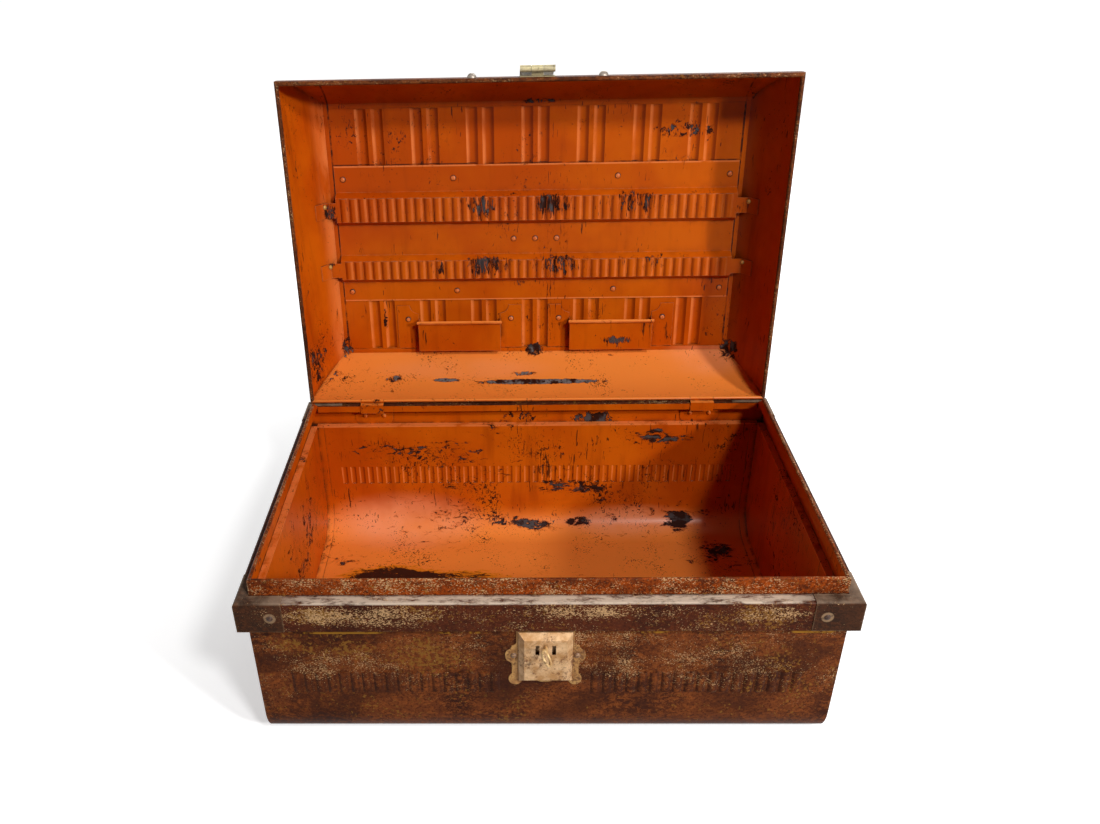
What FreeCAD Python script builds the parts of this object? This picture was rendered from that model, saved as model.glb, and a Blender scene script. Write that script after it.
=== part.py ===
"""Dome top tin trunk, shown open, as a parametric document.

Frame: millimetres, +Z up, the front faces -Y, the origin is the middle of the floor's underside.
The pieces of the lid are drawn with the lid shut, in a frame whose height zero is the hinge axis,
and their placement swings them open about that axis.
"""
import FreeCAD, Part
import math
import os
import re
import Sketcher

# Driving dimensions: alias, value, what it is.
DIMENSIONS = [
    ("trunk_width", 610.0, "outside width of the base over its end panels"),
    ("trunk_depth", 406.0, "outside depth of the base over the wrap"),
    ("sheet_gauge", 1.0, "tinplate of base and lid"),
    ("fit_gap", 0.2, "play between lapped sheets"),
    ("floor_bend", 45.0, "outside radius of the wrap's two floor bends"),
    ("wrap_flute_bottom", 77.0, "lower end of the wrap's pressed flutes"),
    ("wrap_flute_length", 28.0, "length of the wrap's flutes"),
    ("wrap_flute_width", 10.0, "width of a flute of the wrap"),
    ("wrap_flute_height", 1.6, "how far a flute of the wrap is pressed out"),
    ("wrap_flute_end", 24.0, "plain end of the wrap's row of flutes, at least"),
    ("wrap_flute_gap", 8.0, "flutes beside the lock plate"),
    ("wrap_flange", 7.0, "turned-out top edge of wrap and end panels"),
    ("end_lap", 9.0, "flange of an end panel inside the wrap"),
    ("collar_bottom", 170.0, "height of the collar's lower edge"),
    ("band_height", 36.0, "height of the collar's band"),
    ("band_proud", 8.5, "how far the band stands out from the base"),
    ("lip_height", 20.0, "height of the lip above the ledge"),
    ("lip_inset", 5.0, "how far the lip stands back from the base's face"),
    ("shoulder_bend", 3.0, "rounded shoulder between band and ledge"),
    ("hem_radius", 2.0, "rolled top edge of the lip"),
    ("lip_slope", 28.0, "sloped back end of a side lip"),
    ("return_drop", 9.0, "turned-down inner edge of the back collar"),
    ("cap_gauge", 0.8, "sheet of the corner caps"),
    ("cap_arm", 48.0, "arm of a corner cap, from the band's corner"),
    ("cap_margin", 1.0, "gap between a cap's inner edge and the lip"),
    ("cap_rivet_inset", 35.0, "rivet of a cap, from the band's corner"),
    ("rivet_radius", 3.4, "head of a common rivet"),
    ("lid_overhang", 4.3, "lid rim outside the base's face"),
    ("lid_seat", 0.35, "gap between the shut lid's rim and the caps"),
    ("lid_rise", 93.0, "hinge axis to the underside of the lid's top panel"),
    ("rim_skirt", 6.0, "straight part of a lid wall above its rim"),
    ("lid_cove", 37.0, "how far a lid wall curves in"),
    ("lid_flange", 6.0, "flat top edge of a lid wall under the panel"),
    ("lid_open", 94.0, "swing of the lid in degrees from shut to as drawn"),
    ("wire_radius", 1.6, "wire in the lid's back edge"),
    ("running_fit", 0.05, "radial play of a pin in its hole"),
    ("strap_gauge", 1.2, "sheet of a hinge strap"),
    ("strap_width", 31.0, "hinge strap at its knuckle"),
    ("strap_plate_width", 52.0, "hinge strap where it is riveted"),
    ("strap_inset", 81.0, "middle of a hinge strap from the trunk's end"),
    ("strap_corner", 8.0, "rounded lower corner of a strap"),
    ("notch_play", 0.5, "side play of a strap in its notch"),
    ("rib_end", 25.0, "plain part at the ends of the top panel, at least"),
    ("rib_pitch", 71.5, "pair to pair of the top panel's pressed ribs"),
    ("rib_spread", 21.0, "rib to rib in a pair"),
    ("rib_width", 17.0, "width of a rib"),
    ("rib_height", 3.0, "how far a rib is pressed out"),
    ("rib_margin", 9.0, "rib end from the panel's edge"),
    ("panel_edge", 1.5, "panel past the curved part of the walls"),
    ("stiffener_gap", 1.3, "stiffener from the wall flanges"),
    ("stiffener_to_pocket", 8.0, "stiffener's back edge from the pockets' ears"),
    ("back_plain", 27.0, "plain strap at the stiffener's back edge"),
    ("back_fluted", 38.0, "back fluted band over its feet"),
    ("middle_plain", 41.0, "plain strap between the fluted bands"),
    ("front_fluted", 44.0, "front fluted band over its feet"),
    ("front_plain", 34.0, "plain strap at the stiffener's front edge"),
    ("band_slope", 6.0, "sloped flank of a fluted band"),
    ("band_raise", 9.0, "how far a fluted band stands into the lid"),
    ("flute_end", 5.0, "plain end of a fluted band, at least"),
    ("flute_pitch", 12.4, "flute to flute"),
    ("flute_width", 10.6, "width of a flute"),
    ("flute_height", 2.0, "how far a flute is pressed"),
    ("flute_margin", 0.6, "flute end from the band's flank"),
    ("tab_width", 20.0, "end tab of a fluted band"),
    ("tab_drop", 15.0, "leg of a tab down the lid's end wall"),
    ("tab_root", 4.0, "tab inside the stiffener's edge"),
    ("pocket_place", 106.0, "pocket from the middle of the lid"),
    ("pocket_width", 115.0, "cup of a pocket"),
    ("pocket_proud", 15.0, "cup of a pocket, how far it stands out"),
    ("pocket_depth", 43.0, "pocket from its mouth to its closed end"),
    ("pocket_back_gap", 0.3, "closed end of a pocket from the back wall's flange"),
    ("pocket_rim", 1.8, "rolled rim of a pocket"),
    ("ear_width", 30.0, "ear of a pocket"),
    ("ear_rise", 20.0, "ear past the mouth"),
    ("ear_corner", 12.0, "rounded inner corner of an ear"),
    ("outer_rivet_inset", 11.0, "outer rivets of the stiffener from its ends"),
    ("inner_rivet_place", 108.0, "inner rivets of the stiffener from the middle"),
    ("middle_rivet_pitch", 29.0, "rivet to rivet in the middle strap"),
    ("small_rivet_radius", 2.7, "rivet head in the lid"),
    ("leaf_rivet_radius", 2.0, "rivet head of the hasp leaf"),
    ("stud_radius", 5.7, "dome stud on the lid's front wall"),
    ("stud_rise", 5.5, "dome stud above the rim's middle"),
    ("stud_place", 77.0, "dome stud from the middle"),
    ("lock_gauge", 0.8, "sheet of the lock's back plate"),
    ("lock_top", 163.0, "height of the lock's top edge"),
    ("lock_bottom", 88.0, "height of the lowest point of the lock plate"),
    ("lock_half", 40.0, "half the lock plate's width over its wings"),
    ("plate_margin", 2.0, "lock plate beside the case"),
    ("wing_half", 19.0, "half the height of a wing of the lock plate"),
    ("wing_step", 5.0, "width of the step at the root of a wing"),
    ("wing_tip", 7.0, "half the blunt end of a wing"),
    ("wing_hollow", 8.0, "radius of the hollows beside a wing"),
    ("lobe_radius", 8.0, "round lobes at the lock plate's lower corners"),
    ("lobe_place", 30.5, "lobe from the middle of the lock"),
    ("drop_half", 9.0, "half the middle drop of the lock plate"),
    ("drop_radius", 14.0, "radius of the middle drop"),
    ("wing_rivet_inset", 7.0, "rivet of a wing from its end"),
    ("case_width", 56.0, "lock case at its foot"),
    ("case_height", 67.0, "lock case at its foot"),
    ("case_foot", 2.0, "straight foot of the lock case"),
    ("case_depth", 9.0, "front of the lock case from the base's face"),
    ("case_bevel", 6.0, "width of the case's bevel"),
    ("case_wall", 1.0, "front wall of the lock case"),
    ("case_end_wall", 2.0, "lock case's hollow from the bevel, above and below"),
    ("case_side_wall", 3.0, "lock case's hollow from the bevel, left and right"),
    ("slot_spread", 17.0, "staple slot to staple slot"),
    ("slot_width", 4.0, "staple slot"),
    ("slot_height", 13.0, "staple slot"),
    ("slot_rise", 144.0, "height of the staple slots' middle"),
    ("staple_play", 0.8, "play of a staple in its slot"),
    ("key_rise", 149.0, "height of the keyhole"),
    ("key_radius", 2.0, "key stem"),
    ("key_play", 0.4, "key stem in the keyhole"),
    ("key_reach", 17.0, "outer end of the key stem from the base's face"),
    ("key_post_radius", 1.0, "post that the hollow key turns on"),
    ("key_post_reach", 5.5, "outer end of the key post"),
    ("bow_radius", 8.5, "key bow, to the middle of its wire"),
    ("bow_wire", 1.4, "wire of the key bow"),
    ("bit_length", 6.0, "key bit from the key's axis"),
    ("bit_width", 1.6, "key bit"),
    ("bit_depth", 1.6, "key bit along the key"),
    ("bolt_margin", 2.0, "lock bolt past its slot and the staples"),
    ("bolt_gauge", 1.2, "plate of the lock bolt"),
    ("bolt_gap", 0.4, "bolt from the lock's back plate"),
    ("bolt_travel", 2.8, "travel of the lock bolt"),
    ("tongue_size", 1.5, "tongue of the lock bolt"),
    ("tongue_height", 3.0, "tongue of the lock bolt"),
    ("eye_rise", 1.5, "staple eye above the staple's middle"),
    ("eye_play", 0.6, "play of a tongue in a staple's eye"),
    ("hasp_width", 41.0, "hasp over its knuckles"),
    ("hasp_middle", 14.0, "leaf's middle knuckle"),
    ("hasp_gauge", 1.4, "sheet of the hasp flap"),
    ("hasp_pin_radius", 2.4, "pin of the hasp"),
    ("hasp_side_play", 0.5, "side play between hasp knuckles"),
    ("hasp_rise", 2.0, "hasp pin above the lid's hinge axis when shut"),
    ("hasp_clear", 0.6, "shut flap in front of the lock case"),
    ("hasp_length", 75.0, "flap from its pin to its end"),
    ("hasp_fold", 195.0, "swing of the flap in degrees from folded back to hanging"),
    ("hasp_notch", 6.0, "flap's edge from the pin beside the middle knuckle"),
    ("key_gate", 11.0, "notch in the flap's end for the key"),
    ("key_gate_depth", 17.0, "depth of that notch"),
    ("leaf_gauge", 0.7, "sheet of the hasp leaf"),
    ("leaf_seat", 0.1, "hasp leaf from the lid's wall"),
    ("leaf_length", 40.0, "hasp leaf up the lid's wall"),
    ("leaf_rivet_rise", 28.0, "rivets of the leaf above the straight skirt"),
    ("leaf_foot", 0.6, "lower edge of the leaf above the rim's axis"),
    ("staple_reach", 6.0, "staple from the flap"),
    ("handle_rise", 122.0, "height of the end handles' pivots"),
    ("handle_gauge", 1.2, "handle plate"),
    ("handle_plate_width", 116.0, "handle plate"),
    ("handle_plate_height", 30.0, "handle plate"),
    ("handle_rod", 3.0, "radius of a handle's rod"),
    ("handle_gap", 0.5, "handle rod from its plate"),
    ("handle_reach", 40.0, "leg of a handle from the trunk's middle plane"),
    ("handle_drop", 33.0, "grip of a handle below its pivots"),
    ("handle_bend", 9.0, "bend of a handle's rod"),
    ("handle_stub", 10.0, "pivot end of a handle past its leg"),
    ("lug_width", 5.0, "lug of a handle plate"),
    ("lug_gap", 0.4, "lug from the handle's leg"),
    ("lug_wall", 2.5, "metal of a lug round the rod"),
]

# Values worked out from the driving dimensions.
DERIVED = [
    ("half_x", "trunk_width / 2"),
    ("half_y", "trunk_depth / 2"),
    ("ledge", "collar_bottom + band_height"),
    ("lip_top", "ledge + lip_height"),
    ("flange_under", "collar_bottom + sheet_gauge"),
    ("strap_place", "half_x - strap_inset"),
    ("flange_top", "flange_under + sheet_gauge"),
    ("bead", "wire_radius + running_fit + sheet_gauge"),
    ("lid_half_x", "half_x + lid_overhang - bead"),
    ("lid_half_y", "half_y + lid_overhang - bead"),
    ("axis_rise", "ledge + cap_gauge + lid_seat + bead"),
    ("cove_rise", "lid_rise - rim_skirt"),
    ("cove_radius", "(cove_rise ^ 2 + lid_cove ^ 2) / (2 * lid_cove)"),
    ("wall_in", "bead - sheet_gauge"),
    ("flange_edge", "bead - lid_cove - lid_flange"),
    ("panel_half_x", "lid_half_x + bead - lid_cove + panel_edge"),
    ("panel_half_y", "lid_half_y + bead - lid_cove + panel_edge"),
    ("rib_count", "floor((2 * (panel_half_x - rib_end) - rib_spread - rib_width) / rib_pitch) + 1"),
    ("knuckle", "wire_radius + running_fit + strap_gauge"),
    ("stiffener_half", "lid_half_x + flange_edge - stiffener_gap"),
    ("flute_count", "floor((2 * (stiffener_half - flute_end) - flute_width) / flute_pitch) + 1"),
    ("pocket_floor", "lid_half_y + flange_edge - sheet_gauge - pocket_back_gap"),
    ("pocket_mouth", "pocket_floor - pocket_depth"),
    ("stiffener_back", "ear_rise + stiffener_to_pocket - pocket_mouth"),
    ("back_band_end", "stiffener_back + back_plain"),
    ("back_band_start", "back_band_end + back_fluted"),
    ("front_band_end", "back_band_start + middle_plain"),
    ("front_band_start", "front_band_end + front_fluted"),
    ("stiffener_front", "front_band_start + front_plain"),
    ("back_wall_flutes", "floor((2 * (half_x - wrap_flute_end) - wrap_flute_width) / flute_pitch) + 1"),
    ("side_flutes", "floor((half_x - wrap_flute_end - wrap_flute_width - lock_half - wrap_flute_gap)"
                    " / flute_pitch) + 1"),
    ("case_room", "case_height / 2 - case_bevel - case_end_wall"),
    ("case_room_half", "case_width / 2 - case_bevel - case_side_wall"),
    ("hasp_knuckle", "hasp_pin_radius + running_fit + hasp_gauge"),
    ("hasp_out", "case_depth + hasp_clear + hasp_knuckle"),
    ("hasp_place", "half_y + hasp_out"),
    ("case_middle", "lock_top - case_height / 2"),
    ("case_taper", "atan(case_bevel / (case_depth - lock_gauge - case_foot))"),
    ("bolt_back", "lock_gauge + bolt_gap"),
    ("bolt_front", "bolt_back + bolt_gauge"),
    ("staple_thick", "slot_width - 2 * staple_play"),
    ("staple_tall", "slot_height - 2 * staple_play"),
    ("staple_drop", "axis_rise + hasp_rise - slot_rise"),
    ("eye_out", "case_depth + hasp_clear - staple_reach / 2"),
    ("handle_out", "half_x + handle_gauge + handle_gap + handle_rod"),
]

# Caps of a sphere: the latitude in degrees where the flat side cuts the ball.
RIVET_LATITUDE = 30.0
STUD_LATITUDE = 5.0
QUARTER_TURN = 90.0
BOW_TURN = 60.0
SIDES = {"left": -1, "right": 1}
ENDS = {"front": -1, "back": 1}

doc = FreeCAD.newDocument("dome_top_trunk")
sheet = doc.addObject("Spreadsheet::Sheet", "dims")
sub_parts = []


def fill_sheet():
    """Write the driving dimensions as numbers and the rest as formulas, each with its alias."""
    row = 0
    for alias, value, note in DIMENSIONS:
        row += 1
        sheet.set(f"A{row}", note)
        sheet.set(f"B{row}", str(value))
        sheet.setAlias(f"B{row}", alias)
    for alias, formula in DERIVED:
        row += 1
        sheet.set(f"A{row}", formula)
        sheet.set(f"B{row}", "=" + formula)
        sheet.setAlias(f"B{row}", alias)
    doc.recompute()


fill_sheet()
ALIASES = [entry[0] for entry in DIMENSIONS + DERIVED]
ALIAS_PATTERN = re.compile(r"\b(" + "|".join(ALIASES) + r")\b")


def formula(text):
    """Turn words of the sheet into an expression that any object can hold."""
    return ALIAS_PATTERN.sub(r"dims.\1", str(text))


def value(text):
    """Number that an expression has now."""
    result = sheet.evalExpression(formula(text))
    return float(getattr(result, "Value", result))


def new_body(label):
    """Start a sub-part that is made of sketches."""
    body = doc.addObject("PartDesign::Body", label)
    body.Label = label
    sub_parts.append(body)
    return body


def new_sketch(body, role, offset="0"):
    """Sketch on one of the body's origin planes, moved along that plane's normal."""
    sketch = body.newObject("Sketcher::SketchObject", f"{body.Name}_outline")
    plane = [item for item in body.Origin.OriginFeatures if item.Role == role][0]
    sketch.AttachmentSupport = [(plane, "")]
    sketch.MapMode = "FlatFace"
    sketch.setExpression("AttachmentOffset.Base.z", formula(offset))
    return sketch


def bind_vertex(sketch, geometry, position, across, up):
    """Hold a vertex at a place given by two expressions."""
    for kind, text in (("DistanceX", across), ("DistanceY", up)):
        rule = Sketcher.Constraint(kind, -1, 1, geometry, position, value(text))
        index = sketch.addConstraint(rule)
        sketch.setExpression(f"Constraints[{index}]", formula(text))


def arc_between(start, end, radius, turn):
    """Arc of under half a circle from start to end, turning left for turn 1 and right for -1."""
    chord = end - start
    half = chord.Length / 2
    normal = FreeCAD.Vector(-chord.y, chord.x, 0) * (turn / chord.Length)
    centre = (start + end) * 0.5 + normal * math.sqrt(max(radius * radius - half * half, 0.0))
    first, last = (start, end) if turn > 0 else (end, start)
    angles = [math.atan2(point.y - centre.y, point.x - centre.x) for point in (first, last)]
    circle = Part.Circle(centre, FreeCAD.Vector(0, 0, 1), radius)
    return Part.ArcOfCircle(circle, angles[0], angles[1])


def outline(sketch, points):
    """Closed outline. A point is (across, up), or (across, up, radius, turn) after an arc."""
    places = [FreeCAD.Vector(value(point[0]), value(point[1]), 0) for point in points]
    heads = []
    tails = []
    for index, point in enumerate(points):
        start = places[index - 1]
        end = places[index]
        if len(point) == 4:
            edge = arc_between(start, end, value(point[2]), point[3])
            geometry = sketch.addGeometry(edge, False)
            rule = sketch.addConstraint(Sketcher.Constraint("Radius", geometry, value(point[2])))
            sketch.setExpression(f"Constraints[{rule}]", formula(point[2]))
            ends = (1, 2) if point[3] > 0 else (2, 1)
        else:
            geometry = sketch.addGeometry(Part.LineSegment(start, end), False)
            ends = (1, 2)
        heads.append((geometry, ends[0]))
        tails.append((geometry, ends[1]))
    for index, point in enumerate(points):
        follower = heads[(index + 1) % len(points)]
        sketch.addConstraint(Sketcher.Constraint("Coincident", *tails[index], *follower))
        bind_vertex(sketch, *tails[index], point[0], point[1])


def circle(sketch, across, up, radius):
    """Full circle in a sketch."""
    centre = FreeCAD.Vector(value(across), value(up), 0)
    shape = Part.Circle(centre, FreeCAD.Vector(0, 0, 1), value(radius))
    geometry = sketch.addGeometry(shape, False)
    bind_vertex(sketch, geometry, 3, across, up)
    rule = sketch.addConstraint(Sketcher.Constraint("Radius", geometry, value(radius)))
    sketch.setExpression(f"Constraints[{rule}]", formula(radius))


def box_points(left, low, right, high):
    """Corners of a rectangle as outline points."""
    return [(left, low), (right, low), (right, high), (left, high)]


def pad(body, sketch, length, symmetric=False, backwards=False, taper=None):
    """Pad a sketch."""
    feature = body.newObject("PartDesign::Pad", f"{body.Name}_pad")
    feature.Profile = sketch
    feature.SideType = "Symmetric" if symmetric else "One side"
    feature.Reversed = backwards
    feature.setExpression("Length", formula(length))
    if taper is not None:
        feature.setExpression("TaperAngle", formula(taper))
    sketch.Visibility = False
    doc.recompute()
    return feature


def pocket(body, sketch, length=None, backwards=False):
    """Cut a sketch out of the body, through all of it unless a length is given."""
    before = body.Shape.Volume
    feature = body.newObject("PartDesign::Pocket", f"{body.Name}_cut")
    feature.Profile = sketch
    if length is None:
        feature.Type = "ThroughAll"
        feature.SideType = "Symmetric"
    else:
        feature.Reversed = backwards
        feature.setExpression("Length", formula(length))
    doc.recompute()
    if body.Shape.Volume > before - 1e-3:
        raise RuntimeError(f"a cut of {body.Label} removes nothing")
    return feature


def repeat_across(body, features, pitch, count):
    """Repeat features along X, with the first at their own place."""
    pattern = body.newObject("PartDesign::LinearPattern", f"{body.Name}_row")
    pattern.Originals = features
    axis = [item for item in body.Origin.OriginFeatures if item.Role == "X_Axis"][0]
    pattern.Direction = (axis, [""])
    pattern.setExpression("Length", formula(f"({pitch}) * ({count} - 1)"))
    pattern.setExpression("Occurrences", formula(count))
    body.Tip = pattern
    doc.recompute()
    return pattern


def swing_with_lid(item):
    """Place a piece drawn in the shut lid's frame where the open lid carries it."""
    item.Placement = FreeCAD.Placement(FreeCAD.Vector(), FreeCAD.Rotation(FreeCAD.Vector(1, 0, 0), -1))
    item.setExpression("Placement.Rotation.Angle", formula("-lid_open * 1deg"))
    item.setExpression("Placement.Base.y", formula("lid_half_y - lid_half_y * cos(lid_open)"))
    item.setExpression("Placement.Base.z", formula("axis_rise + lid_half_y * sin(lid_open)"))


def strip_outline(points, sign, half):
    """Turn a profile given outwards from a face into sketch points on one side of the trunk."""
    turned = []
    for point in points:
        across = f"{sign} * ({half} + {point[0]})"
        bend = (point[2], point[3] * sign) if len(point) == 4 else ()
        turned.append((across, point[1]) + bend)
    return turned


def mitred_strip(label, side, half_x, half_y, profile, reach_out, reach_in):
    """Strip along one side of a rectangle, with its ends cut at 45 degrees through the corners."""
    body = new_body(label)
    along_x = side in ENDS
    sign = ENDS[side] if along_x else SIDES[side]
    across, along = (half_y, half_x) if along_x else (half_x, half_y)
    sketch = new_sketch(body, "YZ_Plane" if along_x else "XZ_Plane")
    outline(sketch, strip_outline(profile, sign, across))
    pad(body, sketch, f"2 * ({along} + {reach_out})", symmetric=True)
    for end in (-1, 1):
        mitre = new_sketch(body, "XY_Plane")
        corners = [(reach_out, reach_out), (f"-({reach_in})", f"-({reach_in})"), (reach_out, f"-({reach_in})")]
        points = []
        for far, out in corners:
            far_place = f"{end} * ({along} + {far})"
            out_place = f"{sign} * ({across} + {out})"
            points.append((far_place, out_place) if along_x else (out_place, far_place))
        outline(mitre, points)
        pocket(body, mitre)
    return body


def collar_profile(lipped):
    """Section of the collar, outwards from the base's face: flange, band, ledge, and lip or return."""
    start = [
        ("fit_gap", "collar_bottom"),
        ("band_proud", "collar_bottom"),
        ("band_proud", "ledge - shoulder_bend"),
        ("band_proud - shoulder_bend", "ledge", "shoulder_bend", 1),
    ]
    lip = [
        ("-lip_inset", "ledge"),
        ("-lip_inset", "lip_top - hem_radius"),
        ("-lip_inset - hem_radius", "lip_top", "hem_radius", 1),
        ("-lip_inset - 2 * hem_radius", "lip_top - hem_radius", "hem_radius", 1),
        ("-lip_inset - hem_radius", "lip_top - 2 * hem_radius", "hem_radius", 1),
        ("-lip_inset - sheet_gauge",
         "lip_top - hem_radius - sqrt(hem_radius ^ 2 - (hem_radius - sheet_gauge) ^ 2)", "hem_radius", 1),
        ("-lip_inset - sheet_gauge", "ledge - sheet_gauge"),
    ]
    turned_down = [
        ("-lip_inset - sheet_gauge", "ledge"),
        ("-lip_inset - sheet_gauge", "ledge - return_drop"),
        ("-lip_inset", "ledge - return_drop"),
        ("-lip_inset", "ledge - sheet_gauge"),
    ]
    finish = [
        ("band_proud - shoulder_bend", "ledge - sheet_gauge"),
        ("band_proud - sheet_gauge", "ledge - shoulder_bend", "shoulder_bend - sheet_gauge", -1),
        ("band_proud - sheet_gauge", "flange_under"),
        ("fit_gap", "flange_under"),
    ]
    return start + (lip if lipped else turned_down) + finish


def lid_wall_profile():
    """Section of a lid wall, outwards from the middle of its rolled rim."""
    arc_middle = "bead - cove_radius"
    inner_arc = "sqrt((cove_radius - sheet_gauge) ^ 2 - (cove_rise - sheet_gauge) ^ 2)"
    return [
        ("bead", "0", "bead", 1),
        ("bead", "rim_skirt"),
        ("bead - lid_cove", "lid_rise", "cove_radius", 1),
        ("flange_edge", "lid_rise"),
        ("flange_edge", "lid_rise - sheet_gauge"),
        (f"{arc_middle} + {inner_arc}", "lid_rise - sheet_gauge"),
        ("wall_in", "rim_skirt", "cove_radius - sheet_gauge", -1),
        ("wall_in", "sqrt(bead ^ 2 - wall_in ^ 2)"),
        ("0", "bead", "bead", 1),
        ("-bead", "0", "bead", 1),
        ("0", "-bead", "bead", 1),
    ]


def dome(x, y, z, facing, radius, latitude=RIVET_LATITUDE):
    """Dome head whose flat side lies on a surface: a cap of a sphere."""
    head = doc.addObject("Part::Sphere", "dome_head")
    head.Angle1 = latitude
    ball = f"({radius}) / cos({latitude})"
    sink = f"({ball}) * sin({latitude})"
    head.setExpression("Radius", formula(ball))
    turn = FreeCAD.Rotation(FreeCAD.Vector(0, 0, 1), FreeCAD.Vector(*facing))
    head.Placement = FreeCAD.Placement(FreeCAD.Vector(), turn)
    unit = FreeCAD.Vector(*facing).normalize()
    for name, text, part in (("x", x, unit.x), ("y", y, unit.y), ("z", z, unit.z)):
        head.setExpression(f"Placement.Base.{name}", formula(f"{text} - ({part}) * {sink}"))
    return head


def group(label, pieces):
    """Separate solids that share one node."""
    compound = doc.addObject("Part::Compound", label)
    compound.Label = label
    compound.Links = pieces
    sub_parts.append(compound)
    return compound


def run(sketch, points):
    """Open line of straight runs and arcs, with points as in a closed outline."""
    places = [FreeCAD.Vector(value(point[0]), value(point[1]), 0) for point in points]
    tail = None
    for index in range(1, len(points)):
        point = points[index]
        if len(point) == 4:
            edge = arc_between(places[index - 1], places[index], value(point[2]), point[3])
            ends = (1, 2) if point[3] > 0 else (2, 1)
        else:
            edge = Part.LineSegment(places[index - 1], places[index])
            ends = (1, 2)
        geometry = sketch.addGeometry(edge, False)
        if len(point) == 4:
            rule = sketch.addConstraint(Sketcher.Constraint("Radius", geometry, value(point[2])))
            sketch.setExpression(f"Constraints[{rule}]", formula(point[2]))
        if tail is None:
            bind_vertex(sketch, geometry, ends[0], points[0][0], points[0][1])
        else:
            sketch.addConstraint(Sketcher.Constraint("Coincident", *tail, geometry, ends[0]))
        bind_vertex(sketch, geometry, ends[1], point[0], point[1])
        tail = (geometry, ends[1])


def primitive(kind, name, sizes, place, turn=None):
    """Part primitive with its sizes and place bound to the sheet. turn is (axis, degrees)."""
    item = doc.addObject(kind, name)
    for prop, text in sizes.items():
        item.setExpression(prop, formula(text))
    if turn is not None:
        spin = FreeCAD.Rotation(FreeCAD.Vector(*turn[0]), turn[1])
        item.Placement = FreeCAD.Placement(FreeCAD.Vector(), spin)
    for name, text in zip("xyz", place):
        item.setExpression(f"Placement.Base.{name}", formula(text))
    return item


def joined(label, pieces, bore=None):
    """Fuse primitives to one sub-part, and cut a bore from it where one is given."""
    whole = doc.addObject("Part::MultiFuse", f"{label}_whole" if bore else label)
    whole.Shapes = pieces
    if bore is not None:
        cut = doc.addObject("Part::Cut", label)
        cut.Base = whole
        cut.Tool = bore
        whole = cut
    whole.Label = label
    sub_parts.append(whole)
    return whole


TO_FRONT = ((1, 0, 0), QUARTER_TURN)
ACROSS = ((0, 1, 0), QUARTER_TURN)
BOW_TILT = ((0, 1, 0), BOW_TURN)


def build_wrap():
    """Front wall, floor and back wall bent from one sheet, with turned-out top edges."""
    body = new_body("base_wrap")
    sketch = new_sketch(body, "YZ_Plane")
    outline(sketch, [
        ("-half_y - wrap_flange", "flange_under"),
        ("-half_y", "flange_under"),
        ("-half_y", "floor_bend"),
        ("floor_bend - half_y", "0", "floor_bend", 1),
        ("half_y - floor_bend", "0"),
        ("half_y", "floor_bend", "floor_bend", 1),
        ("half_y", "flange_under"),
        ("half_y + wrap_flange", "flange_under"),
        ("half_y + wrap_flange", "flange_top"),
        ("half_y - sheet_gauge", "flange_top"),
        ("half_y - sheet_gauge", "floor_bend"),
        ("half_y - floor_bend", "sheet_gauge", "floor_bend - sheet_gauge", -1),
        ("floor_bend - half_y", "sheet_gauge"),
        ("sheet_gauge - half_y", "floor_bend", "floor_bend - sheet_gauge", -1),
        ("sheet_gauge - half_y", "flange_top"),
        ("-half_y - wrap_flange", "flange_top"),
    ])
    pad(body, sketch, "trunk_width - 2 * sheet_gauge", symmetric=True)
    row = "flute_pitch * (back_wall_flutes - 1)"
    wall_flutes(body, 1, f"-({row}) / 2", "back_wall_flutes")
    beside_lock = "lock_half + wrap_flute_gap + wrap_flute_width / 2"
    wall_flutes(body, -1, beside_lock, "side_flutes")
    wall_flutes(body, -1, f"-({beside_lock}) - flute_pitch * (side_flutes - 1)", "side_flutes")


def wall_flutes(body, out, first, count):
    """Row of short upright flutes pressed outwards in the wrap's front or back wall."""
    half = "wrap_flute_width / 2"
    arch = "(wrap_flute_width ^ 2 / 4 + wrap_flute_height ^ 2) / (2 * wrap_flute_height)"
    face = f"{out} * half_y"
    ridge = new_sketch(body, "XY_Plane", "wrap_flute_bottom")
    outline(ridge, [
        (f"{first} + {half}", f"{out} * (half_y - sheet_gauge / 2)"),
        (f"{first} + {half}", face),
        (f"{first} - {half}", face, arch, out),
        (f"{first} - {half}", f"{out} * (half_y - sheet_gauge / 2)"),
    ])
    raised = pad(body, ridge, "wrap_flute_length")
    hollow = new_sketch(body, "XY_Plane", "wrap_flute_bottom")
    inside = f"{out} * (half_y - sheet_gauge)"
    outline(hollow, [
        (f"{first} - {half} + sheet_gauge", inside),
        (f"{first} + {half} - sheet_gauge", inside, f"({arch}) - sheet_gauge / 2", -out),
    ])
    pressed = pocket(body, hollow, "wrap_flute_length", backwards=True)
    repeat_across(body, [raised, pressed], "flute_pitch", count)


def u_outline(inset, top):
    """U shape of the base's end, set in from the outside by an amount."""
    return [
        (f"{inset} - half_y", top),
        (f"{inset} - half_y", "floor_bend"),
        ("floor_bend - half_y", inset, f"floor_bend - ({inset})", 1),
        ("half_y - floor_bend", inset),
        (f"half_y - ({inset})", "floor_bend", f"floor_bend - ({inset})", 1),
        (f"half_y - ({inset})", top),
    ]


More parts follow.
